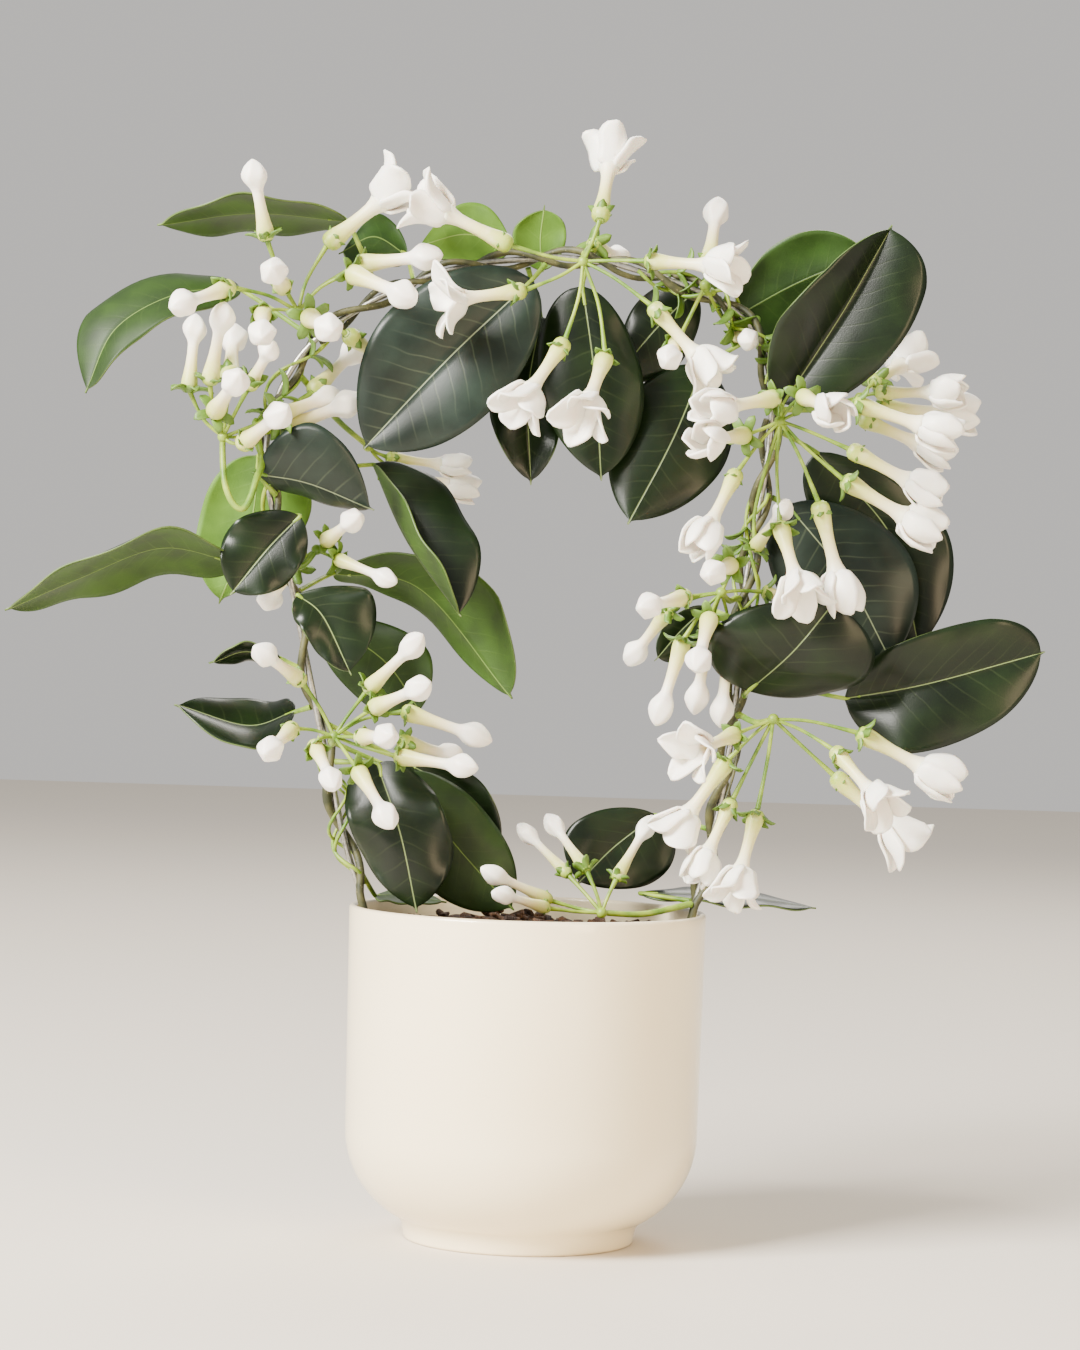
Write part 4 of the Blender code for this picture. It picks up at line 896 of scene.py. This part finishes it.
# Name, hub, and flowers: kind, foot, end, then whether it leans to the viewer (-1) or away (1)
UMBELS = [
    ("umbel_top", (14, 384, -18), [
        ("half", (20, 400, -20), (23, 421), 1),
        ("half", (-14, 389, -24), (-40, 401), -1),
        ("open", (-8, 372, -24), (-33, 368), -1),
        ("half", (38, 385, -24), (63, 384), -1),
        ("half", (41, 368, -26), (59, 349), -1),
        ("half", (8, 353, -26), (-5, 333), -1),
        ("half", (24, 348, -26), (18, 330), -1),
        ("bud", (17, 391, 0), (30, 385), 1)]),
    ("umbel_top_left", (-97, 361, -14), [
        ("bud", (-110, 388, -27), (-117, 420), -0.4),
        ("bud", (-103, 370, -20), (-108, 378), -1),
        ("bud", (-123, 370, -30), (-147, 361), -1),
        ("bud", (-93, 359, -22), (-83, 354), -1),
        ("bud", (-111, 361, -22), (-111, 350), -1),
        ("bud", (-78, 377, -14), (-51, 367), -1),
        ("bud", (-75, 380, -4), (-41, 385), -1),
        ("bud", (-78, 353, -9), (-56, 338), 1),
        ("half", (-87, 387, -8), (-66, 405), -1)]),
    ("umbel_left", (-125, 311, -20), [
        ("bud", (-139, 328, -24), (-137, 359), 0),
        ("bud", (-131, 331, -28), (-126, 364), -0.5),
        ("bud", (-123, 333, -20), (-122, 354), 1),
        ("bud", (-116, 330, -26), (-106, 349), -0.3),
        ("bud", (-129, 320, -30), (-119, 336), -1),
        ("bud", (-118, 308, -26), (-100, 323), -1),
        ("bud", (-106, 319, -16), (-80, 330), 1),
        ("bud", (-104, 314, -4), (-70, 328), 1),
        ("bud", (-91, 329, 0), (-71, 350), 1)]),
    ("umbel_left_back", (-87, 268, 8), [
        ("bud", (-84, 271, 6), (-71, 282), -1),
        ("bud", (-80, 265, 4), (-55, 256), -0.6),
        ("bud", (-95, 262, 12), (-107, 245), 1)]),
    ("umbel_behind", (-68, 309, 32), [
        ("cup", (-61, 305, 34), (-40, 303), 0.4),
        ("cup", (-58, 300, 34), (-37, 295), 0.6)]),
    ("umbel_low_left", (-78, 195, -20), [
        ("bud", (-91, 216, -20), (-110, 229), -1),
        ("bud", (-94, 198, -26), (-105, 187), -1),
        ("bud", (-86, 192, -34), (-77, 175), -1),
        ("bud", (-69, 183, -34), (-54, 160), -1),
        ("bud", (-68, 195, -30), (-55, 196), -1),
        ("bud", (-66, 213, -20), (-44, 236), -1),
        ("bud", (-64, 206, -24), (-41, 217), -1),
        ("bud", (-52, 206, -20), (-16, 195), -1),
        ("bud", (-54, 188, -24), (-21, 184), -1),
        ("bud", (-52, 194, -14), (-28, 188), 1)]),
    ("umbel_right", (93, 324, -26), [
        ("cup", (101, 334, -30), (111, 330), -1),
        ("cup", (92, 333, -32), (73, 329), -1),
        ("cup", (80, 318, -32), (68, 316), -1),
        ("cup", (77, 304, -30), (67, 283), -1),
        ("cup", (121, 332, -24), (148, 324), -1),
        ("cup", (120, 314, -26), (144, 302), -1),
        ("cup", (118, 302, -26), (143, 288), -1),
        ("cup", (109, 293, -30), (117, 265), -1),
        ("half", (94, 284, -28), (101, 263), -1),
        ("bud", (84, 273, -16), (98, 293), -0.4)]),
    ("umbel_right_back", (124, 334, 14), [
        ("half", (129, 340, 16), (139, 347), 1),
        ("cup", (130, 336, 10), (152, 337), -0.6),
        ("cup", (130, 331, 18), (156, 329), 1),
        ("cup", (124, 326, 12), (147, 317), 1)]),
    ("umbel_right_middle", (72, 256, -20), [
        ("bud", (76, 267, -26), (67, 263), -1),
        ("bud", (59, 254, -24), (40, 249), -1),
        ("bud", (52, 249, -20), (36, 227), 1),
        ("bud", (58, 238, -22), (48, 203), -1),
        ("bud", (68, 247, -28), (63, 225), -1),
        ("bud", (68, 242, -14), (63, 208), 1),
        ("bud", (76, 238, -12), (73, 203), 0),
        ("bud", (88, 257, -16), (103, 254), 0)]),
    ("umbel_low_right", (94, 207, -32), [
        ("half", (80, 201, -36), (67, 195), -1),
        ("half", (77, 191, -30), (62, 169), -1),
        ("cup", (79, 175, -26), (70, 154), -0.6),
        ("half", (89, 171, -34), (83, 147), -1),
        ("half", (118, 196, -36), (133, 180), -1),
        ("half", (118, 186, -26), (140, 167), 1),
        ("cup", (127, 203, -30), (153, 190), -1)]),
    ("umbel_on_soil", (29, 129, -22), [
        ("bud", (23, 145, -20), (6, 167), 1),
        ("bud", (16, 143, -14), (-5, 163), 1),
        ("bud", (9, 133, -18), (-19, 145), -1),
        ("bud", (8, 130, -30), (-14, 136), -1),
        ("bud", (34, 142, -18), (48, 168), 1)]),
    ("umbel_top_right", (62, 376, -14), [
        ("bud", (63, 383, 6), (66, 410), 1),
        ("bud", (52, 354, -14), (48, 346), -1),
        ("bud", (74, 357, 6), (81, 355), -0.6)]),
]


def flower_end(foot, end, lean, length):
    """Foot and far end of a flower: it shows where given, and its depth makes up the true length."""
    start = seen(*foot)
    flat = seen(*end, foot[2])
    short = (flat - start).length
    depth = math.sqrt(max(length ** 2 - short ** 2, 0.0))
    return start, seen(*end, foot[2] + lean * depth)


# Clusters whose flowers are stouter or slighter than most
GIRTHS = {"umbel_left": 1.13, "umbel_top_left": 1.1, "umbel_on_soil": 0.76, "umbel_behind": 0.9}
# The stalk of the left cluster hangs in a loop in front of the pale leaf
LOOP = [(-125, 306, -20), (-124, 294, -23), (-121, 286, -24), (-117, 283, -24), (-114, 286.5, -22),
        (-111.5, 295, -17), (-109.5, 302, -11)]


def ruffle(piece, number, amount):
    """Makes a flower differ from its kind by bending its lobes up to an amount in millimetres."""
    marks = piece.data.attributes["rise"].data
    for corner in piece.data.vertices:
        share = max(marks[corner.index].value - 0.55, 0.0) / 0.45
        corner.co += noise.noise_vector(corner.co * 95 + Vector((number * 3.7, 0, 0))) * amount * share * MM


sway = random.Random(11)
for name, hub, flowers in UMBELS:
    centre = seen(*hub)
    start, out = seat(centre)
    bend = [out.lerp(centre, 0.5) + Vector((0, 0, -2))]
    if name == "umbel_left":
        bend = [seen(*spot) for spot in LOOP[::-1]]
    route = through([start, out, *bend, centre], 40)
    pieces = [round_length("peduncle", route, [PEDUNCLE_RADIUS * (1.1 - 0.2 * i / 40) for i in range(41)], stalk_skin, 2)]
    bpy.ops.mesh.primitive_uv_sphere_add(segments=12, ring_count=8, radius=HUB_RADIUS * 0.95 * MM,
                                         location=centre * MM)
    knob = bpy.context.object
    bpy.ops.object.transform_apply(location=True)
    bpy.ops.object.shade_smooth()
    knob.data.materials.append(stalk_skin)
    pieces.append(knob)
    for number, (kind, foot, end, lean) in enumerate(flowers):
        true_length = BUD_LENGTH if kind == "bud" else TUBE_LENGTH
        base, tip = flower_end(foot, end, lean, true_length)
        axis = (tip - base).normalized()
        stretch = (tip - base).length / true_length
        girth = min(1.08, max(0.85, stretch)) * GIRTHS.get(name, 1.0) * sway.uniform(0.95, 1.05)
        turn = (Matrix.Translation(base * MM) @ Vector((0, 0, 1)).rotation_difference(axis).to_matrix().to_4x4()
                @ Matrix.Rotation(0.9 * number, 4, "Z"))
        source = bud_shape if kind == "bud" else opened[kind]
        corolla = copy_placed(source, turn @ Matrix.Diagonal((girth, girth, stretch, 1)))
        ruffle(corolla, number + len(flowers), 0.6 if kind == "bud" else 1.9)
        pieces.append(corolla)
        calyx = sway.choice(calyxes)
        grow = sway.uniform(0.85, 1.15) * GIRTHS.get(name, 1.0)
        settle = turn @ Matrix.Rotation(sway.uniform(0, 1.2), 4, "Z") @ Matrix.Diagonal((grow, grow, grow, 1))
        pieces.append(copy_placed(calyx, settle))
        bow = centre.lerp(base, 0.55) - axis * 0.12 * (base - centre).length
        route = through([centre, bow, base + axis * 1.0], 14)
        thick = [PEDICEL_RADIUS * (1.0 + 0.5 * max(0.0, (i - 10) / 4)) for i in range(15)]
        pieces.append(round_length("pedicel", route, thick, stalk_skin, 1))
    cluster = join_pieces(name.replace("umbel_", "") + "_flowers", pieces)
    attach(cluster, "root")
    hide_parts(name)
for source in [bud_shape, *opened.values(), *calyxes]:
    bpy.data.objects.remove(source)


# Young growth: thin green side shoots that wind loosely over the older stems where these are
# thickest, with small new leaves, and one dry tip that hangs at the right.
SHOOT_RADIUS = 0.8
# Name, where the shoots begin and end along the wire, steps from one pair of new leaves to the next
SHOOTS = [("top_shoots", 0.545, 0.655, 15), ("upper_left_shoots", 0.27, 0.40, 30),
          ("left_shoots", 0.075, 0.17, 200), ("right_shoots", 0.70, 0.83, 40)]
leaflet = petal("leaflet", 11.5, 5.6, (56.0, 26.0, -6.0), 0.3, 0.5, 0.4, 0.0, 8, 4)
set_rise(leaflet, lambda co: 0.0)
leaflet.data.materials.append(sepal_skin)
for name, first, last, leafing in SHOOTS:
    pieces = []
    for strand in range(3):
        phase, turns = sway.uniform(0, 6.28), sway.choice((-1, 1)) * sway.uniform(1.2, 2.2)
        start, end = int(first * 240) + sway.randint(0, 4), int(last * 240) - sway.randint(0, 4)
        winding = []
        for k in range(start, end + 1):
            share = (k - start) / (end - start)
            along = (wire_route[k + 1] - wire_route[k - 1]).normalized()
            out = Vector((0, 1, 0)).cross(along).normalized()
            angle = phase + turns * 2 * math.pi * share
            reach = 2.8 + 2.6 * math.sin(math.pi * share) ** 0.6
            winding.append(wire_route[k] + (out * math.cos(angle) + along.cross(out) * math.sin(angle)) * reach)
        winding = through(winding, 3 * (len(winding) - 1))
        thin = [SHOOT_RADIUS * (1.05 - 0.4 * i / len(winding)) for i in range(len(winding))]
        pieces.append(round_length("shoot", winding, thin, stalk_skin, 1))
        for k in range(leafing // 2, len(winding) - 4, leafing):
            turn = (winding[k + 2] - winding[k - 2]).to_track_quat("Z", "X").to_matrix().to_4x4()
            size = sway.uniform(0.55, 1.0)
            twist = sway.uniform(0, 6.28)
            for opposite in (0.0, math.pi):
                pieces.append(copy_placed(leaflet, Matrix.Translation(winding[k] * MM) @ turn
                                          @ Matrix.Rotation(twist + opposite, 4, "Z")
                                          @ Matrix.Diagonal((size, size, size, 1))))
    shoots = join_pieces(name, pieces)
    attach(shoots, "root")
bpy.data.objects.remove(leaflet)

tip_route = through([seen(*spot) for spot in ((80, 205, 4), (80, 190, -6), (76, 174, -10), (71, 160, -10),
                                              (70, 146, -6))], 24)
dry_tip = round_length("dry_tip", tip_route, [0.7 - 0.3 * i / 24 for i in range(25)], young_bark, 1)
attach(dry_tip, "root")
